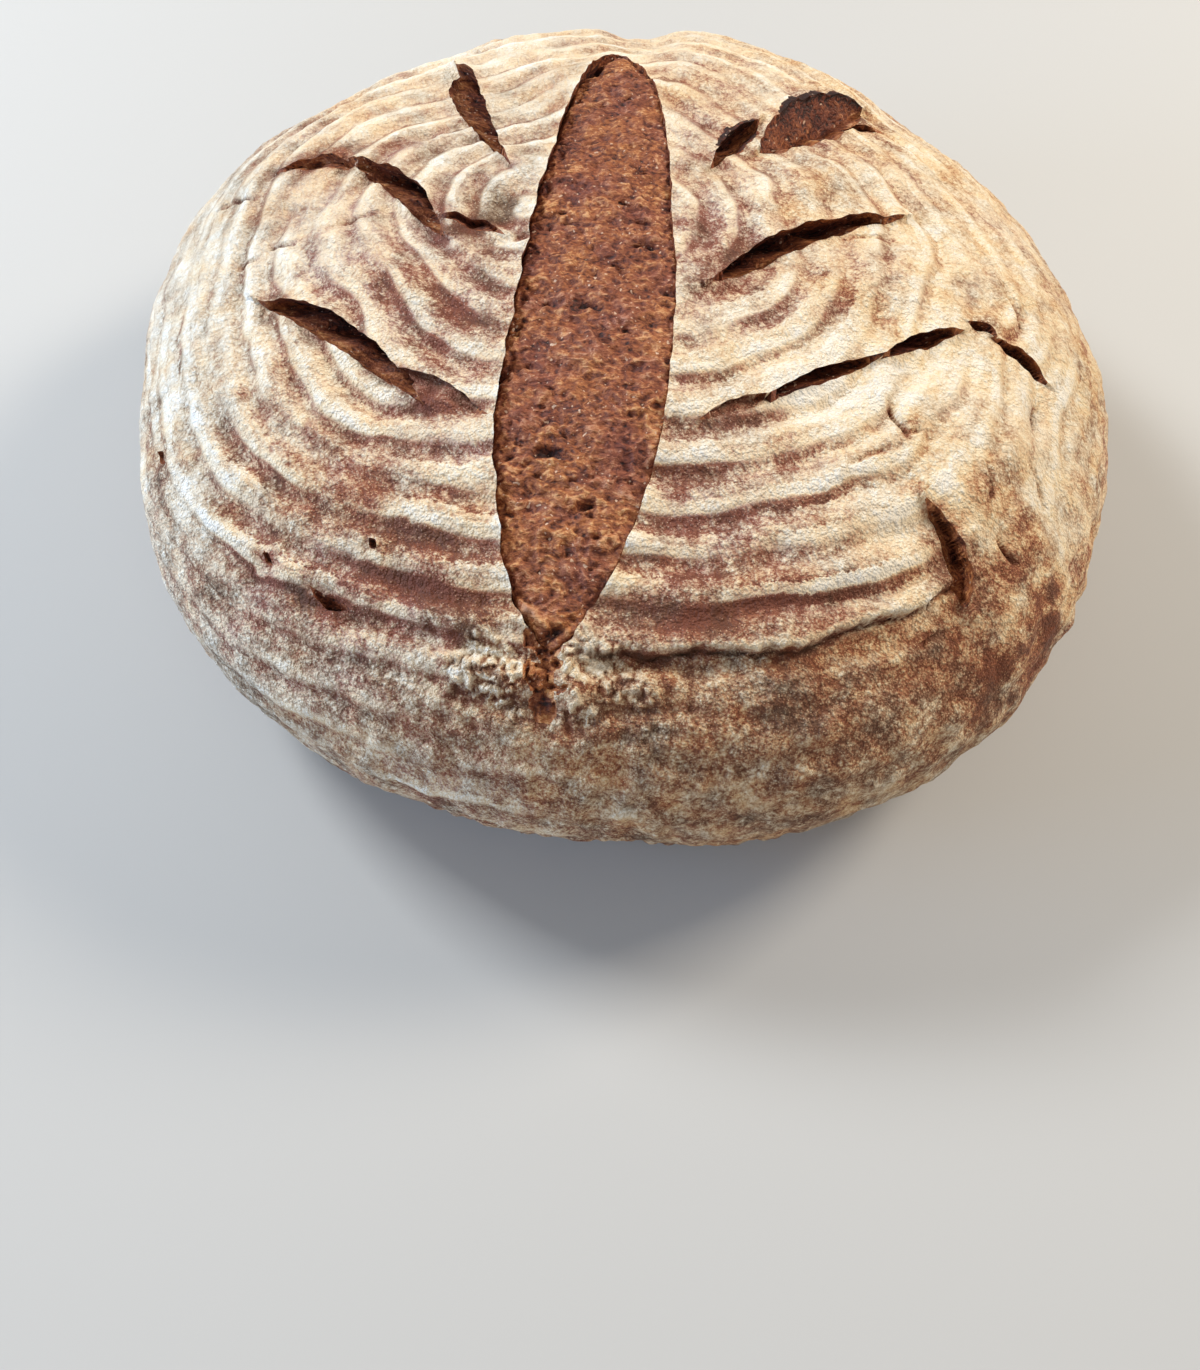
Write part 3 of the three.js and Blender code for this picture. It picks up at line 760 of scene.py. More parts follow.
# Greyer on the left: part damp rye flour, part painted cool light. Greyer in the fold's groove: painted
# shade.
grey = 0.26 * smooth((-y - 88) / 16) + 0.46 * smooth((-x - 62) / 34) + 0.5 * groove - 0.05
add_patches(grey, x, y, GREY)
print(f"golden {toast.mean():.2f} and grey {grey.mean():.2f} on average")

# %% [markdown]
# ## Wrapping the crust
# The sheet is laid on the section, and its rim is extruded in under the loaf. Flour, baking, the number
# of the ring and the painted light and shade of the openings, as a level, are kept on its points as
# attributes, which the finish reads.
# The flat places become the UV map, so a finish can be baked into textures with little stretch. Faces
# inside an opening get the second material, torn crumb.

# %% Helpers for points and rims
def keep_on_points(mesh, values):
    """Keeps an array of values on the points of a mesh under each name, and gives back the layers."""
    layers = [mesh.verts.layers.float.new(name) for name in values]
    for vert, row in zip(mesh.verts, np.stack([*values.values()], -1).tolist()):
        for layer, value in zip(layers, row):
            vert[layer] = value
    return dict(zip(values, layers))


def put(points, placed):
    """Moves points to places given in mm."""
    for vert, place in zip(points, placed):
        vert.co = place * MM


def grow_rim(mesh):
    """Extrudes the open rim of a sheet, and gives the new points and the new rim."""
    rim = [e for e in mesh.edges if e.is_boundary]
    grown = bmesh.ops.extrude_edge_only(mesh, edges=rim)["geom"]
    points = [g for g in grown if isinstance(g, bmesh.types.BMVert)]
    return points, [g for g in grown if isinstance(g, bmesh.types.BMEdge) and g.is_boundary]


def close_sheet(mesh, rim=(), facing=0):
    """Fills a flat rim, if one is given, turns all faces outwards and cuts them into triangles."""
    if rim:
        bmesh.ops.triangle_fill(mesh, use_beauty=True, edges=rim, normal=(0, 0, facing))
    bmesh.ops.recalc_face_normals(mesh, faces=mesh.faces)
    bmesh.ops.triangulate(mesh, faces=mesh.faces, quad_method="BEAUTY", ngon_method="BEAUTY")


# %% The crust on the loaf
CRUST_LIFT = 0.5
RIM_STEPS = [(4.5, 0.0), (4.5, 1.6)]  # how far in and how far up, in mm
placed = wrap(wrap_x, wrap_y, raised)
placed[:, 2] = np.maximum(placed[:, 2], CRUST_LIFT)
crust_flat = np.stack([x, y], -1)
crust_raised = raised
put(bm.verts, placed)
# On torn points, toast and level come from the painted shade in deep: the crumb is darker where shade is
# painted, and lighter and more golden where it is not, as painted light on the open floors of the cuts.
layers = keep_on_points(bm, {
    "flour": flour, "toast": np.where(torn > 0.5, np.clip(0.95 - deep, 0, 1), toast), "grey": grey,
    "loose": loose, "ring": number + drift, "banding": banding, "thin banding": thin_banding,
    "level": 0.72 - 0.56 * deep, "flat x": x, "flat y": y})
flat_x, flat_y = layers["flat x"], layers["flat y"]
torn_points = {vert for vert, share in zip(bm.verts, torn) if share > 0.5}
lip_points = {vert for vert, gap in zip(bm.verts, to_edge) if abs(gap) < EDGE_WIDTH}

for inward, up in RIM_STEPS:
    for vert in grow_rim(bm)[0]:
        out = Vector((vert.co.x, vert.co.y, 0)).normalized()
        vert.co += (Vector((0, 0, up)) - out * inward) * MM
        flat = Vector((vert[flat_x], vert[flat_y], 0))
        flat += flat.normalized() * inward
        vert[flat_x], vert[flat_y] = flat.x, flat.y
close_sheet(bm)
print(f"crust with its rim: {len(bm.verts)} points")

# %% Torn faces, the UV map and the finished piece
def middle(face):
    return [sum(vert[layer] for vert in face.verts) / 3 for layer in (flat_x, flat_y)]


for face in bm.faces:
    face.material_index = int(any(vert in torn_points for vert in face.verts))
between_lips = [face for face in bm.faces if all(vert in lip_points for vert in face.verts)]
for face, gap in zip(between_lips, nearest_edge(*np.array([middle(face) for face in between_lips]).T)):
    if gap < 0:
        face.material_index = 1
print(f"{len(between_lips)} faces reach from lip to lip")


def write_uv(mesh, layers, span):
    """Turns the flat places, in mm, into a UV map that textures can be baked through."""
    uv = mesh.loops.layers.uv.new("OFBake")
    for face in mesh.faces:
        for loop in face.loops:
            loop[uv].uv = [0.5 + loop.vert[layers[name]] / span for name in ("flat x", "flat y")]


write_uv(bm, layers, 2.04 * (FULL_LENGTH + 9))


def finish_piece(name, mesh, materials, sharp_angle=60):
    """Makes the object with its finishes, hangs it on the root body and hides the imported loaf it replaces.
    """
    data = bpy.data.meshes.new(name)
    mesh.to_mesh(data)
    mesh.free()
    data.shade_smooth()
    data.set_sharp_from_angle(angle=math.radians(sharp_angle))
    piece = bpy.data.objects.new(name, data)
    bpy.context.scene.collection.objects.link(piece)
    for material in materials:
        data.materials.append(material)
    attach(piece, "root")
    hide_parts("boule")
    data.calc_loop_triangles()
    print(f"{name}: {len(data.loop_triangles)} triangles")


# %% [markdown]
# ## Finishes
# Two finishes cover the loaf: floured crust, and the torn crumb that shows in the burst and the slashes.
# Their effects are node groups, each built once: grain, dusting and torn crumb. Patterns are read in
# Object coordinates, so a size in the material is a real size, and nothing stretches where pieces meet.

# %% Helpers for node trees
def srgb(red, green, blue):
    """A colour given in display values from 0 to 255, as the linear light that shaders need."""
    lit = [(v / 255 / 12.92 if v < 10.3 else ((v / 255 + 0.055) / 1.055) ** 2.4) for v in (red, green, blue)]
    return (*lit, 1)


def add_node(tree, kind, inputs=None, **settings):
    """Adds a node; each input is given a value, or a socket to be linked to."""
    made = tree.nodes.new(kind)
    for name, value in settings.items():
        setattr(made, name, value)
    for name, value in (inputs or {}).items():
        if isinstance(value, bpy.types.NodeSocket):
            tree.links.new(value, made.inputs[name])
        else:
            made.inputs[name].default_value = value
    return made


def calculate(tree, operation, first, second=0.0, third=0.0, clamp=False):
    inputs = {0: first, 1: second, 2: third}
    return add_node(tree, "ShaderNodeMath", inputs, operation=operation, use_clamp=clamp).outputs[0]


def times(tree, first, second):
    return calculate(tree, "MULTIPLY", first, second)


def minus(tree, first, second):
    return calculate(tree, "SUBTRACT", first, second)


def add_up(tree, amount, factor, rest, clamp=False):
    """An amount times a factor, added to the rest."""
    return calculate(tree, "MULTIPLY_ADD", amount, factor, rest, clamp)


def ramp(tree, amount, stops):
    """Turns an amount into a colour; each stop is a place and a colour given in display values."""
    made = add_node(tree, "ShaderNodeValToRGB", {0: amount})
    while len(made.color_ramp.elements) < len(stops):
        made.color_ramp.elements.new(0.5)
    for element, (place, colour) in zip(made.color_ramp.elements, stops):
        element.position = place
        element.color = srgb(*colour)
    return made.outputs[0]


def blend(tree, share, first, second, mode="MIX"):
    made = add_node(tree, "ShaderNodeMix", {0: share, 6: first, 7: second}, data_type="RGBA", blend_type=mode)
    return made.outputs[2]


# %% Helpers for patterns of a real size
def noise_of_size(tree, millimetres, detail=2.0, roughness=0.55, stretch=(1, 1, 1), warp=0.0):
    """Soft noise from 0 to 1, read where the point lies on the loaf."""
    where = add_node(tree, "ShaderNodeTexCoord").outputs["Object"]
    mapped = add_node(tree, "ShaderNodeMapping", {"Vector": where, "Scale": stretch}).outputs[0]
    inputs = {"Vector": mapped, "Scale": 0.7 / (millimetres * MM), "Detail": detail,
              "Roughness": roughness, "Distortion": warp}
    return add_node(tree, "ShaderNodeTexNoise", inputs).outputs[0]


def cells_of_size(tree, millimetres):
    """Distance from the middles of cells that fill space, as a share of their size."""
    where = add_node(tree, "ShaderNodeTexCoord").outputs["Object"]
    inputs = {"Vector": where, "Scale": 1 / (millimetres * MM)}
    return add_node(tree, "ShaderNodeTexVoronoi", inputs).outputs["Distance"]


def step_between(tree, amount, low, high, first=0.0, last=1.0):
    """Goes from first to last as the amount goes from low to high; low may be the larger one."""
    return add_node(tree, "ShaderNodeMapRange", {0: amount, 1: low, 2: high, 3: first, 4: last}).outputs[0]


# %% Helpers for node groups
def new_group(name, inputs, outputs):
    """Makes a node group, and gives its tree, what comes in and what goes out."""
    group = bpy.data.node_groups.new(name, "ShaderNodeTree")
    for title, kind, value in inputs:
        socket = group.interface.new_socket(title, in_out="INPUT", socket_type=kind)
        socket.default_value = value
    for title, kind in outputs:
        group.interface.new_socket(title, in_out="OUTPUT", socket_type=kind)
    return group, group.nodes.new("NodeGroupInput").outputs, group.nodes.new("NodeGroupOutput").inputs


def use_group(tree, group, inputs):
    return add_node(tree, "ShaderNodeGroup", inputs=inputs, node_tree=group).outputs


NUMBER = "NodeSocketFloat"
COLOUR = "NodeSocketColor"

# %% [markdown]
# Floured crust is covered with small crumbs of dough and flour, each rounded, with dark gaps in between.
# Over bare crust only single white grains are left. Grain gives a push that moves the amount of flour up
# and down, a height for the bump, and the single grains.

# %% Node group: grain
tree, got, out = new_group("Grain", [("Fine", NUMBER, 1.0), ("Coarse", NUMBER, 1.0)],
                           [("Push", NUMBER), ("Height", NUMBER), ("Grains", NUMBER)])
grain_group = tree
crumb_shape = step_between(tree, cells_of_size(tree, 1.45), 0.72, 0.12)
small_shape = step_between(tree, cells_of_size(tree, 0.6), 0.75, 0.15)
grit_noise = minus(tree, noise_of_size(tree, 0.45, 2.0, 0.75), 0.5)
patch_noise = step_between(tree, noise_of_size(tree, 2.4, 4.0, 0.62), 0.36, 0.64)
patch_noise = minus(tree, patch_noise, 0.5)
shape = add_up(tree, small_shape, 0.4, times(tree, crumb_shape, 0.6))
centred = minus(tree, shape, 0.55)
fine_push = add_up(tree, grit_noise, 1.1, times(tree, centred, 0.45))
patchy = times(tree, patch_noise, got["Coarse"])
tree.links.new(add_up(tree, fine_push, got["Fine"], patchy), out["Push"])
tree.links.new(add_up(tree, grit_noise, 0.8, shape), out["Height"])
tree.links.new(step_between(tree, cells_of_size(tree, 0.62), 0.30, 0.16), out["Grains"])

# %% [markdown]
# Dusting turns an amount of flour into a colour. Bare crust is a warm brown. A thin dusting looks
# greyish mauve, because the white grains scatter blue light over the brown. More flour goes over tan
# and cream to nearly white. Where the crust was baked hotter it is more golden, and where rye flour
# stayed damp it is grey to olive.

# %% Node group: dusting
tree, got, out = new_group("Dusting", [("Flour", NUMBER, 0.5), ("Toast", NUMBER, 0.5), ("Grey", NUMBER, 0.0)],
                           [("Color", COLOUR)])
dust_group = tree
DUSTED = [(0.00, (120, 68, 54)), (0.16, (144, 90, 75)), (0.32, (166, 126, 112)), (0.48, (196, 165, 148)),
          (0.64, (227, 202, 174)), (0.80, (241, 220, 190)), (1.00, (248, 235, 214))]
TOASTED = [(0.00, (122, 68, 44)), (0.20, (158, 98, 66)), (0.40, (194, 146, 106)), (0.60, (226, 190, 146)),
           (0.80, (242, 217, 176)), (1.00, (248, 233, 208))]
GREYED = [(0.00, (84, 58, 42)), (0.20, (118, 92, 72)), (0.40, (154, 132, 110)), (0.60, (200, 184, 162)),
          (0.80, (234, 224, 207)), (1.00, (246, 242, 234))]
dusted, toasted, greyed = (ramp(tree, got["Flour"], stops) for stops in (DUSTED, TOASTED, GREYED))
baked_colour = blend(tree, got["Toast"], dusted, toasted)
tree.links.new(blend(tree, got["Grey"], baked_colour, greyed), out["Color"])

# %% [markdown]
# Torn crumb is moist, brown and fibrous. Its brightness follows the same relief as its bump, fibres, grit
# and pores, so shade is painted into the hollows and pores and light onto the high spots. It turns golden
# brown with Toast, and has a few pale specks.

# %% Node group: torn crumb
tree, got, out = new_group("Torn crumb", [("Height", NUMBER, 0.5), ("Toast", NUMBER, 0.5)],
                           [("Color", COLOUR), ("Height", NUMBER)])
crumb_group = tree
fibres = minus(tree, noise_of_size(tree, 1.3, 3.0, 0.65, (0.64, 1, 1), 1.1), 0.5)
grit = minus(tree, noise_of_size(tree, 0.45, 2.0, 0.7, (0.7, 1, 1)), 0.5)
pore_shape = step_between(tree, cells_of_size(tree, 1.7), 0.34, 0.10)
pore_here = step_between(tree, noise_of_size(tree, 4.0, 2.0, 0.6), 0.42, 0.60)
pore_dents_and_shade = times(tree, pore_shape, pore_here)
# The level is both the crumb's brightness and its bump height: painted light on high fibres and painted shade
# in hollows and pores.
level = add_up(tree, fibres, 1.75, got["Height"])
level = add_up(tree, grit, 0.9, level)
level = add_up(tree, pore_dents_and_shade, -0.35, level)
BROWN = [(0.05, (46, 20, 12)), (0.28, (100, 46, 29)), (0.50, (137, 74, 45)), (0.70, (165, 99, 62)),
         (0.92, (208, 150, 106))]
GOLDEN_BROWN = [(0.05, (52, 24, 12)), (0.30, (112, 58, 28)), (0.50, (152, 88, 46)), (0.70, (186, 120, 68)),
                (0.92, (222, 170, 114))]
brown, golden = (ramp(tree, level, stops) for stops in (BROWN, GOLDEN_BROWN))
crumb_colour = blend(tree, got["Toast"], brown, golden)
moist = step_between(tree, noise_of_size(tree, 5, 2.0, 0.6, (0.6, 1, 1)), 0.48, 0.62)
crumb_colour = blend(tree, moist, crumb_colour, (0.74, 0.66, 0.86, 1), "MULTIPLY")
speckle = add_up(tree, noise_of_size(tree, 6, 1.0, 0.5), 0.3, noise_of_size(tree, 0.6, 0.0, 0.5))
speck = step_between(tree, speckle, 0.92, 0.98)
crumb_colour = blend(tree, speck, crumb_colour, srgb(214, 178, 150))
tree.links.new(crumb_colour, out["Color"])
tree.links.new(level, out["Height"])

# %% [markdown]
# The crust has two materials: floured crust where the skin is whole, and torn crumb on the faces inside
# the openings. Floured crust first adds the bands along the rings to the amount of flour, as a wave over
# the number of the ring. Grain then breaks the amount up, and dusting turns it into a colour. Flour is
# dull, so the roughness is high, and bare crust is a little smoother.

# %% Helpers for the finishes
def new_material(name):
    material = bpy.data.materials.new(name)
    material.use_nodes = True
    shader = material.node_tree.nodes["Principled BSDF"]
    return material, material.node_tree, shader


def attribute(tree, name):
    return add_node(tree, "ShaderNodeAttribute", attribute_name=name).outputs["Fac"]


def add_bump(tree, shader, height, depth, strength):
    """Lets small relief catch the light; the depth is in mm."""
    inputs = {"Height": height, "Distance": depth * MM, "Strength": strength}
    tree.links.new(add_node(tree, "ShaderNodeBump", inputs).outputs[0], shader.inputs["Normal"])


# %% Floured crust
def floured_crust():
    material, tree, shader = new_material("floured crust")
    flour_amount = attribute(tree, "flour")
    grain = use_group(tree, grain_group, {"Fine": 1.2, "Coarse": 0.34})
    number = add_up(tree, grain["Push"], 0.15, attribute(tree, "ring"))
    on_ridge = calculate(tree, "COSINE", times(tree, number, 2 * math.pi))
    on_ridge = minus(tree, step_between(tree, on_ridge, -0.42, 0.18), 0.62)
    on_thin = calculate(tree, "COSINE", add_up(tree, number, 4 * math.pi, -1.2))
    on_thin = minus(tree, step_between(tree, on_thin, -0.35, 0.35), 0.6)
    flour_amount = add_up(tree, on_ridge, attribute(tree, "banding"), flour_amount)
    flour_amount = add_up(tree, on_thin, attribute(tree, "thin banding"), flour_amount)
    loose_on_bare = step_between(tree, flour_amount, 0.05, 0.40, 0.4, 1)
    loose_on_thick = step_between(tree, flour_amount, 0.40, 0.75, 1, 0.5)
    loose = times(tree, times(tree, loose_on_bare, loose_on_thick), attribute(tree, "loose"))
    grainy = add_up(tree, grain["Push"], loose, flour_amount)
    on_bare = times(tree, grain["Grains"], step_between(tree, grainy, 0.5, 0.2))
    grainy = add_up(tree, on_bare, 0.34, grainy)
    tint = minus(tree, noise_of_size(tree, 9, 2.0, 0.6), 0.5)
    baked = add_up(tree, tint, 1.6, attribute(tree, "toast"), clamp=True)
    damp = minus(tree, noise_of_size(tree, 5, 2.0, 0.6), 0.42)
    greyness = add_up(tree, damp, 2.6, attribute(tree, "grey"), clamp=True)
    colour = use_group(tree, dust_group, {"Flour": grainy, "Toast": baked, "Grey": greyness})["Color"]
    tree.links.new(colour, shader.inputs["Base Color"])
    tree.links.new(step_between(tree, grainy, 0.0, 0.6, 0.62, 0.95), shader.inputs["Roughness"])
    shader.inputs["Specular IOR Level"].default_value = 0.25
    add_bump(tree, shader, grain["Height"], 0.75, 0.78)
    return material


crust_material = floured_crust()
print("floured crust:", len(crust_material.node_tree.nodes), "nodes")


# %% Torn crumb, and the crust with its finishes
def torn_crumb():
    material, tree, shader = new_material("torn crumb")
    # The level attribute carries the painted light and shade of the openings and the burst.
    inputs = {"Height": attribute(tree, "level"), "Toast": attribute(tree, "toast")}
    crumb = use_group(tree, crumb_group, inputs)
    tree.links.new(crumb["Color"], shader.inputs["Base Color"])
    shader.inputs["Roughness"].default_value = 0.62
    shader.inputs["Specular IOR Level"].default_value = 0.4
    add_bump(tree, shader, crumb["Height"], 0.5, 0.8)
    return material


crumb_material = torn_crumb()
finish_piece("crust", bm, [crust_material, crumb_material])

# %% [markdown]
# ## The burst's crumb
# Between the edges of the burst the loaf shows its inside, which was stretched as it rose and then dried
# and browned in the oven. It is a slab of its own under the crust's edges: a fine grid drawn out to the
# outline of the burst. Its level follows the crust on both sides, a little lower at the left edge, and
# it swells in the middle.

# %% A fine slab in the burst
CRUMB_CELLS = (88, 420)
CRUMB_TUCK = 2.6
CRUMB_THICKNESS = 7.0
bm = bmesh.new()
bmesh.ops.create_grid(bm, x_segments=CRUMB_CELLS[0], y_segments=CRUMB_CELLS[1], size=1)
u, v, _ = places(bm)
low_end, high_end = BURST["wide_end"] - 2, BURST["narrow_end"] + 2
y = low_end + (high_end - low_end) * (v + 1) / 2
half_here = burst_half(np.clip(y, BURST["wide_end"] + 0.6, BURST["narrow_end"] - 0.6)) + CRUMB_TUCK
x = burst_centre(y) + u * half_here
print(f"crumb sheet: {len(bm.verts)} points, {len(bm.faces)} cells")

# %% Level of the crumb
from_centre = (x - burst_centre(y)) / np.maximum(burst_half(y), 2)
crust_from_centre = crust_flat[:, 0] - burst_centre(crust_flat[:, 1])


def lip_height(side):
    """The crust's height along one edge of the burst, by how far to the front, evened out."""
    marks = np.linspace(BURST["wide_end"], BURST["narrow_end"], 45)
    beside = (np.abs(edge) < 1.5) & (edge > -EDGE_WIDTH) & (side * crust_from_centre > 0)
    nearness = hump((marks[:, None] - crust_flat[beside, 1]) / 3)
    return np.interp(y, marks, (nearness * crust_raised[beside]).sum(1) / nearness.sum(1))


rise = smooth((np.clip(from_centre, -1, 1) + 1) / 2)
side_level = (lip_height(-1) - 2.3) * (1 - rise) + (lip_height(1) - 1.0) * rise
level = side_level + 1.0 * (1 - np.clip(from_centre, -1, 1) ** 2)
print(f"the crumb's level lies between {level.min():.1f} and {level.max():.1f} mm")

# %% [markdown]
# The crumb tore as the burst opened, so it has fibres and ragged hollows, drawn out a little from side to
# side. The back end opened late and is calmer. Bubbles that were torn open are crescent holes with a low
# rim on their front side. Most are small and lie anywhere, and the large ones have their own places.

# %% Torn relief and bubble holes
HOLES = 90
LARGE_BUBBLES = [  # place, size
    ((-11, -58), 2.1), ((-3.5, -69.5), 1.4), ((-13, -63.5), 0.8), ((4, 11), 1.3), ((-11, 9), 1.0),
    ((8, 5.5), 1.2), ((8, -1.5), 1.3), ((2, -8), 0.9), ((-4, -20), 1.1), ((-16, -66), 0.8), ((6, 24), 0.7),
]
random = np.random.default_rng(12)
hole_y = random.uniform(BURST["wide_end"] + 6, BURST["narrow_end"] - 6, HOLES)
hole_x = burst_centre(hole_y) + burst_half(hole_y) * random.uniform(-0.92, 0.92, HOLES)
hole_size = random.uniform(0.2, 1.0, HOLES) ** 2 * 0.8 + 0.15
bubbles = [*zip(zip(hole_x, hole_y), hole_size), *LARGE_BUBBLES]
torn_fine = 1.0 * (0.35 - np.abs(lumps(0.72 * x, y, 2.9, 23)))
torn_fine += 0.9 * (0.3 - np.abs(lumps(0.75 * x, y, 1.6, 24)))
torn_fine += 0.35 * lumps(0.8 * x, y, 0.9, 25)
torn_fine *= 1 - 0.35 * smooth((y - 8) / 40)
torn_wide = 0.6 * lumps(x * 0.9, y, 7, 21) + 0.5 * lumps(x * 0.9, y + 0.25 * x, 3.6, 22)
pits = np.zeros_like(x)
for (centre_x, centre_y), size in bubbles:
    close = (np.abs(x - centre_x) < 8) & (np.abs(y - centre_y) < 5)
    near_x, near_y = x[close], y[close]
    turned = 25 * math.sin(centre_x * 3 + centre_y)
    bent = near_y + 0.10 * (near_x - centre_x) ** 2 / size
    hollow = patch(near_x, bent, (centre_x, centre_y), (1.6 * size + 0.3, 0.55 * size + 0.2), turned)
    rim = patch(near_x, near_y, (centre_x, centre_y - 0.9 * size), (1.5 * size, 0.4 * size), turned)
    pits[close] += 0.3 * size * rim - 1.15 * size**0.7 * hollow
TORN_PLACES = [  # place, size, turned, depth (or height, if below 0)
    ((-8.6, -95.8), (2.0, 0.9), 25, 1.9),
    ((-10.4, -97.6), (1.5, 1.1), 0, 1.3),
    ((-14.4, -92), (4.5, 1.2), -38, -1.0),
    ((-4.0, 67.5), (2.0, 3.4), -20, 3.6),
]
add_patches(pits, x, y, TORN_PLACES, -1)
relief = torn_wide + torn_fine + pits
print(f"{len(bubbles)} bubble holes, relief {relief.std():.2f} mm about its middle")

# %% [markdown]
# Shade is painted into the crumb: its hollows and bubble holes are darker, and its high places lighter and
# more golden, as painted light. So the painted brightness follows the relief. The slab tucks in under the
# crust, and its rim is extruded down and filled to make it a closed solid.

# %% The slab on the loaf
past_edge = np.abs(u) * half_here - burst_half(y)
past_end = np.maximum(BURST["wide_end"] + 1.5 - y, y - BURST["narrow_end"] + 1.5)
raised = level + relief - 2.6 * smooth((past_edge + 0.3) / 2.6) - 2.4 * smooth(past_end / 3)
raised += smooth((-y - 88) / 8) * (0.8 + 0.8 * lumps(x, y, 3.0, 29))
# Painted light and shade: brighter on the torn relief's high places, darker in its hollows and bubble holes.
relief_light_and_shade = 0.52 + 0.04 * smooth((-y - 40) / 40) + 0.14 * torn_wide + 0.24 * torn_fine + 0.28 * pits
relief_light_and_shade = np.clip(relief_light_and_shade, 0, 1)
golden = 0.10 + 0.4 * smooth((-y - 40) / 50) + 0.20 * smooth((y - 10) / 40)
# More golden on the torn relief's high places: partly painted light.
golden = np.clip(golden + 0.7 * lumps(x, y, 8, 26) + 0.35 * torn_fine, 0, 1)
put(bm.verts, wrap(x, y, raised))
layers = keep_on_points(bm, {"level": relief_light_and_shade, "toast": golden, "flat x": x, "flat y": y})
skirt, low_rim = grow_rim(bm)
skirt_x, skirt_y = np.array([[vert[layers["flat x"]], vert[layers["flat y"]]] for vert in skirt]).T
put(skirt, wrap(skirt_x, skirt_y, np.full(len(skirt), -CRUMB_THICKNESS)))
close_sheet(bm, low_rim, -1)
print("open edges left:", sum(e.is_boundary for e in bm.edges))
write_uv(bm, layers, 1.03 * (high_end - low_end) + 30)
finish_piece("burst_crumb", bm, [crumb_material], 75)

# %% [markdown]
# ## The underside
# The bottom baked on the stone: flat, dry and evenly brown, with flour and semolina caught in its small
# hollows. It is a thin slab that closes the loaf just inside the rim of the crust.

# %% Underside
UNDERSIDE_CELLS = 70
UNDERSIDE_REACH = 95
UNDERSIDE_TOP = 6
bm = bmesh.new()
bmesh.ops.create_grid(bm, x_segments=UNDERSIDE_CELLS, y_segments=UNDERSIDE_CELLS, size=1)
a, b, _ = places(bm)
share, angle = to_disc(a, b)
radius = share * UNDERSIDE_REACH * outline(angle + np.where(share < 0, math.pi, 0))
x, y = radius * np.cos(angle), radius * np.sin(angle)
dimples = 0.35 * np.abs(lumps(x, y, 9, 31)) + 0.45 * np.maximum(lumps(x, y, 3.2, 32) - 0.12, 0)
height = dimples + 2.4 * np.abs(share) ** 14
dusting = 0.16 + 0.22 * lumps(x, y, 16, 33) + 0.20 * lumps(x, y, 5, 34) + 0.5 * dimples
dusting += 0.10 * smooth((np.abs(share) - 0.80) / 0.2)
put(bm.verts, np.stack([x, y, height], -1))
plain = np.ones_like(x)
layers = keep_on_points(bm, {"flour": dusting, "toast": 0.6 * plain, "grey": 0.15 * plain, "loose": plain,
                             "flat x": x, "flat y": y})
top, top_rim = grow_rim(bm)
for vert in top:
    vert.co.z = UNDERSIDE_TOP * MM
close_sheet(bm, top_rim, 1)
write_uv(bm, layers, 2.1 * UNDERSIDE_REACH)
finish_piece("underside", bm, [crust_material])

# %% [markdown]
# ## Floor, light and camera
# The loaf stands on a pale floor. A cool window behind it on the left and a warm lamp behind it on the
# right rake over the ridges and leave shade under the lips of the slashes. A bluish light low on the left
# and a weak one in front keep that shade open. The camera looks down at the loaf from close in front.

# %% Floor
FLOOR_HALF = 3
bm = bmesh.new()
bmesh.ops.create_grid(bm, x_segments=1, y_segments=1, size=FLOOR_HALF)
floor_data = bpy.data.meshes.new("floor")
bm.to_mesh(floor_data)
bm.free()
floor = bpy.data.objects.new("floor", floor_data)
bpy.context.scene.collection.objects.link(floor)
floor_material, tree, shader = new_material("pale floor")
shader.inputs["Base Color"].default_value = srgb(196, 194, 190)
shader.inputs["Roughness"].default_value = 0.8
floor_data.materials.append(floor_material)
floor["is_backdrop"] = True
print("floor:", len(floor_data.vertices), "points")


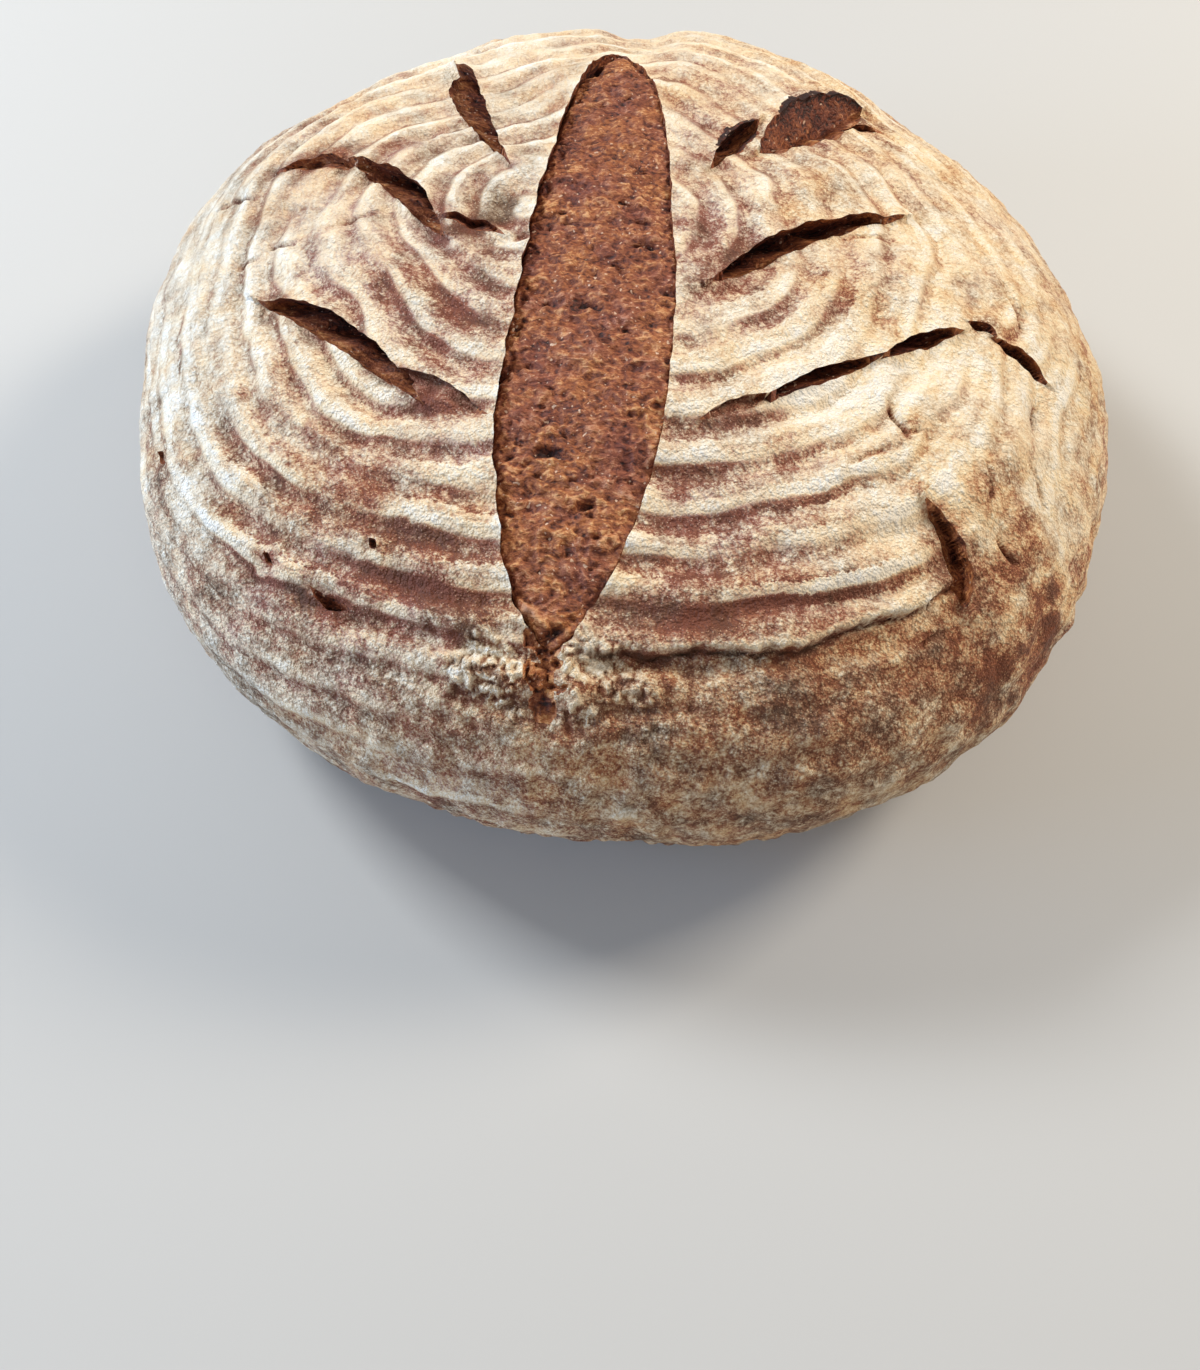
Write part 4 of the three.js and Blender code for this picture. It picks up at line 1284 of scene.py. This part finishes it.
# %% Lights
def area_light(name, place, aim, size, power, colour):
    data = bpy.data.lights.new(name, "AREA")
    data.size = size
    data.energy = power
    data.color = colour
    light = bpy.data.objects.new(name, data)
    light.location = place
    light.rotation_euler = (Vector(aim) - Vector(place)).to_track_quat("-Z", "Y").to_euler()
    bpy.context.scene.collection.objects.link(light)
    print(f"{name}: {power} W, {size} m wide")


area_light("window", (-0.75, 0.45, 0.80), (0, 0, 0.04), 0.32, 11.4, (0.90, 0.95, 1.0))
area_light("lamp", (0.80, 0.35, 0.70), (0, 0, 0.04), 0.32, 8.9, (1.0, 0.91, 0.78))
area_light("front", (0.1, -0.9, 0.9), (0, 0, 0.05), 1.0, 2.4, (1.0, 0.98, 0.96))
area_light("side", (-1.1, -0.25, 0.30), (-0.1, 0, 0.04), 0.5, 7.4, (0.36, 0.61, 1.0))
ROOM_LIGHT = 0.24
world = bpy.data.worlds.new("studio")
world.use_nodes = True
world.node_tree.nodes["Background"].inputs["Color"].default_value = (1.0, 1.0, 1.0, 1)
world.node_tree.nodes["Background"].inputs["Strength"].default_value = ROOM_LIGHT
bpy.context.scene.world = world
bpy.context.scene.view_settings.view_transform = "Standard"

# %% Camera
CAMERA_PLACE = Vector((0, -0.2192, 0.2769))
CAMERA_AIM = Vector((0.0006, -0.0847, 0.038))
CAMERA_ROLL = 1.4
LENS = 32.85
camera_data = bpy.data.cameras.new("camera")
camera_data.lens = LENS
camera_data.sensor_width = 36
camera = bpy.data.objects.new("camera", camera_data)
camera.location = CAMERA_PLACE
looking = (CAMERA_AIM - CAMERA_PLACE).to_track_quat("-Z", "Y")
camera.rotation_euler = (looking @ Quaternion((0, 0, 1), math.radians(CAMERA_ROLL))).to_euler()
bpy.context.scene.collection.objects.link(camera)
bpy.context.scene.camera = camera
print(f"camera {(CAMERA_PLACE - CAMERA_AIM).length * 1000:.0f} mm from what it looks at")

# %% Sizes
visual_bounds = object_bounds()
sizes = {"cad": [list(map(float, corner)) for corner in cad_bounds],
         "visual": [list(map(float, corner)) for corner in visual_bounds]}
for name, (low, high) in sizes.items():
    print(name, "box, mm:", [round((b - a) / MM, 1) for a, b in zip(low, high)])
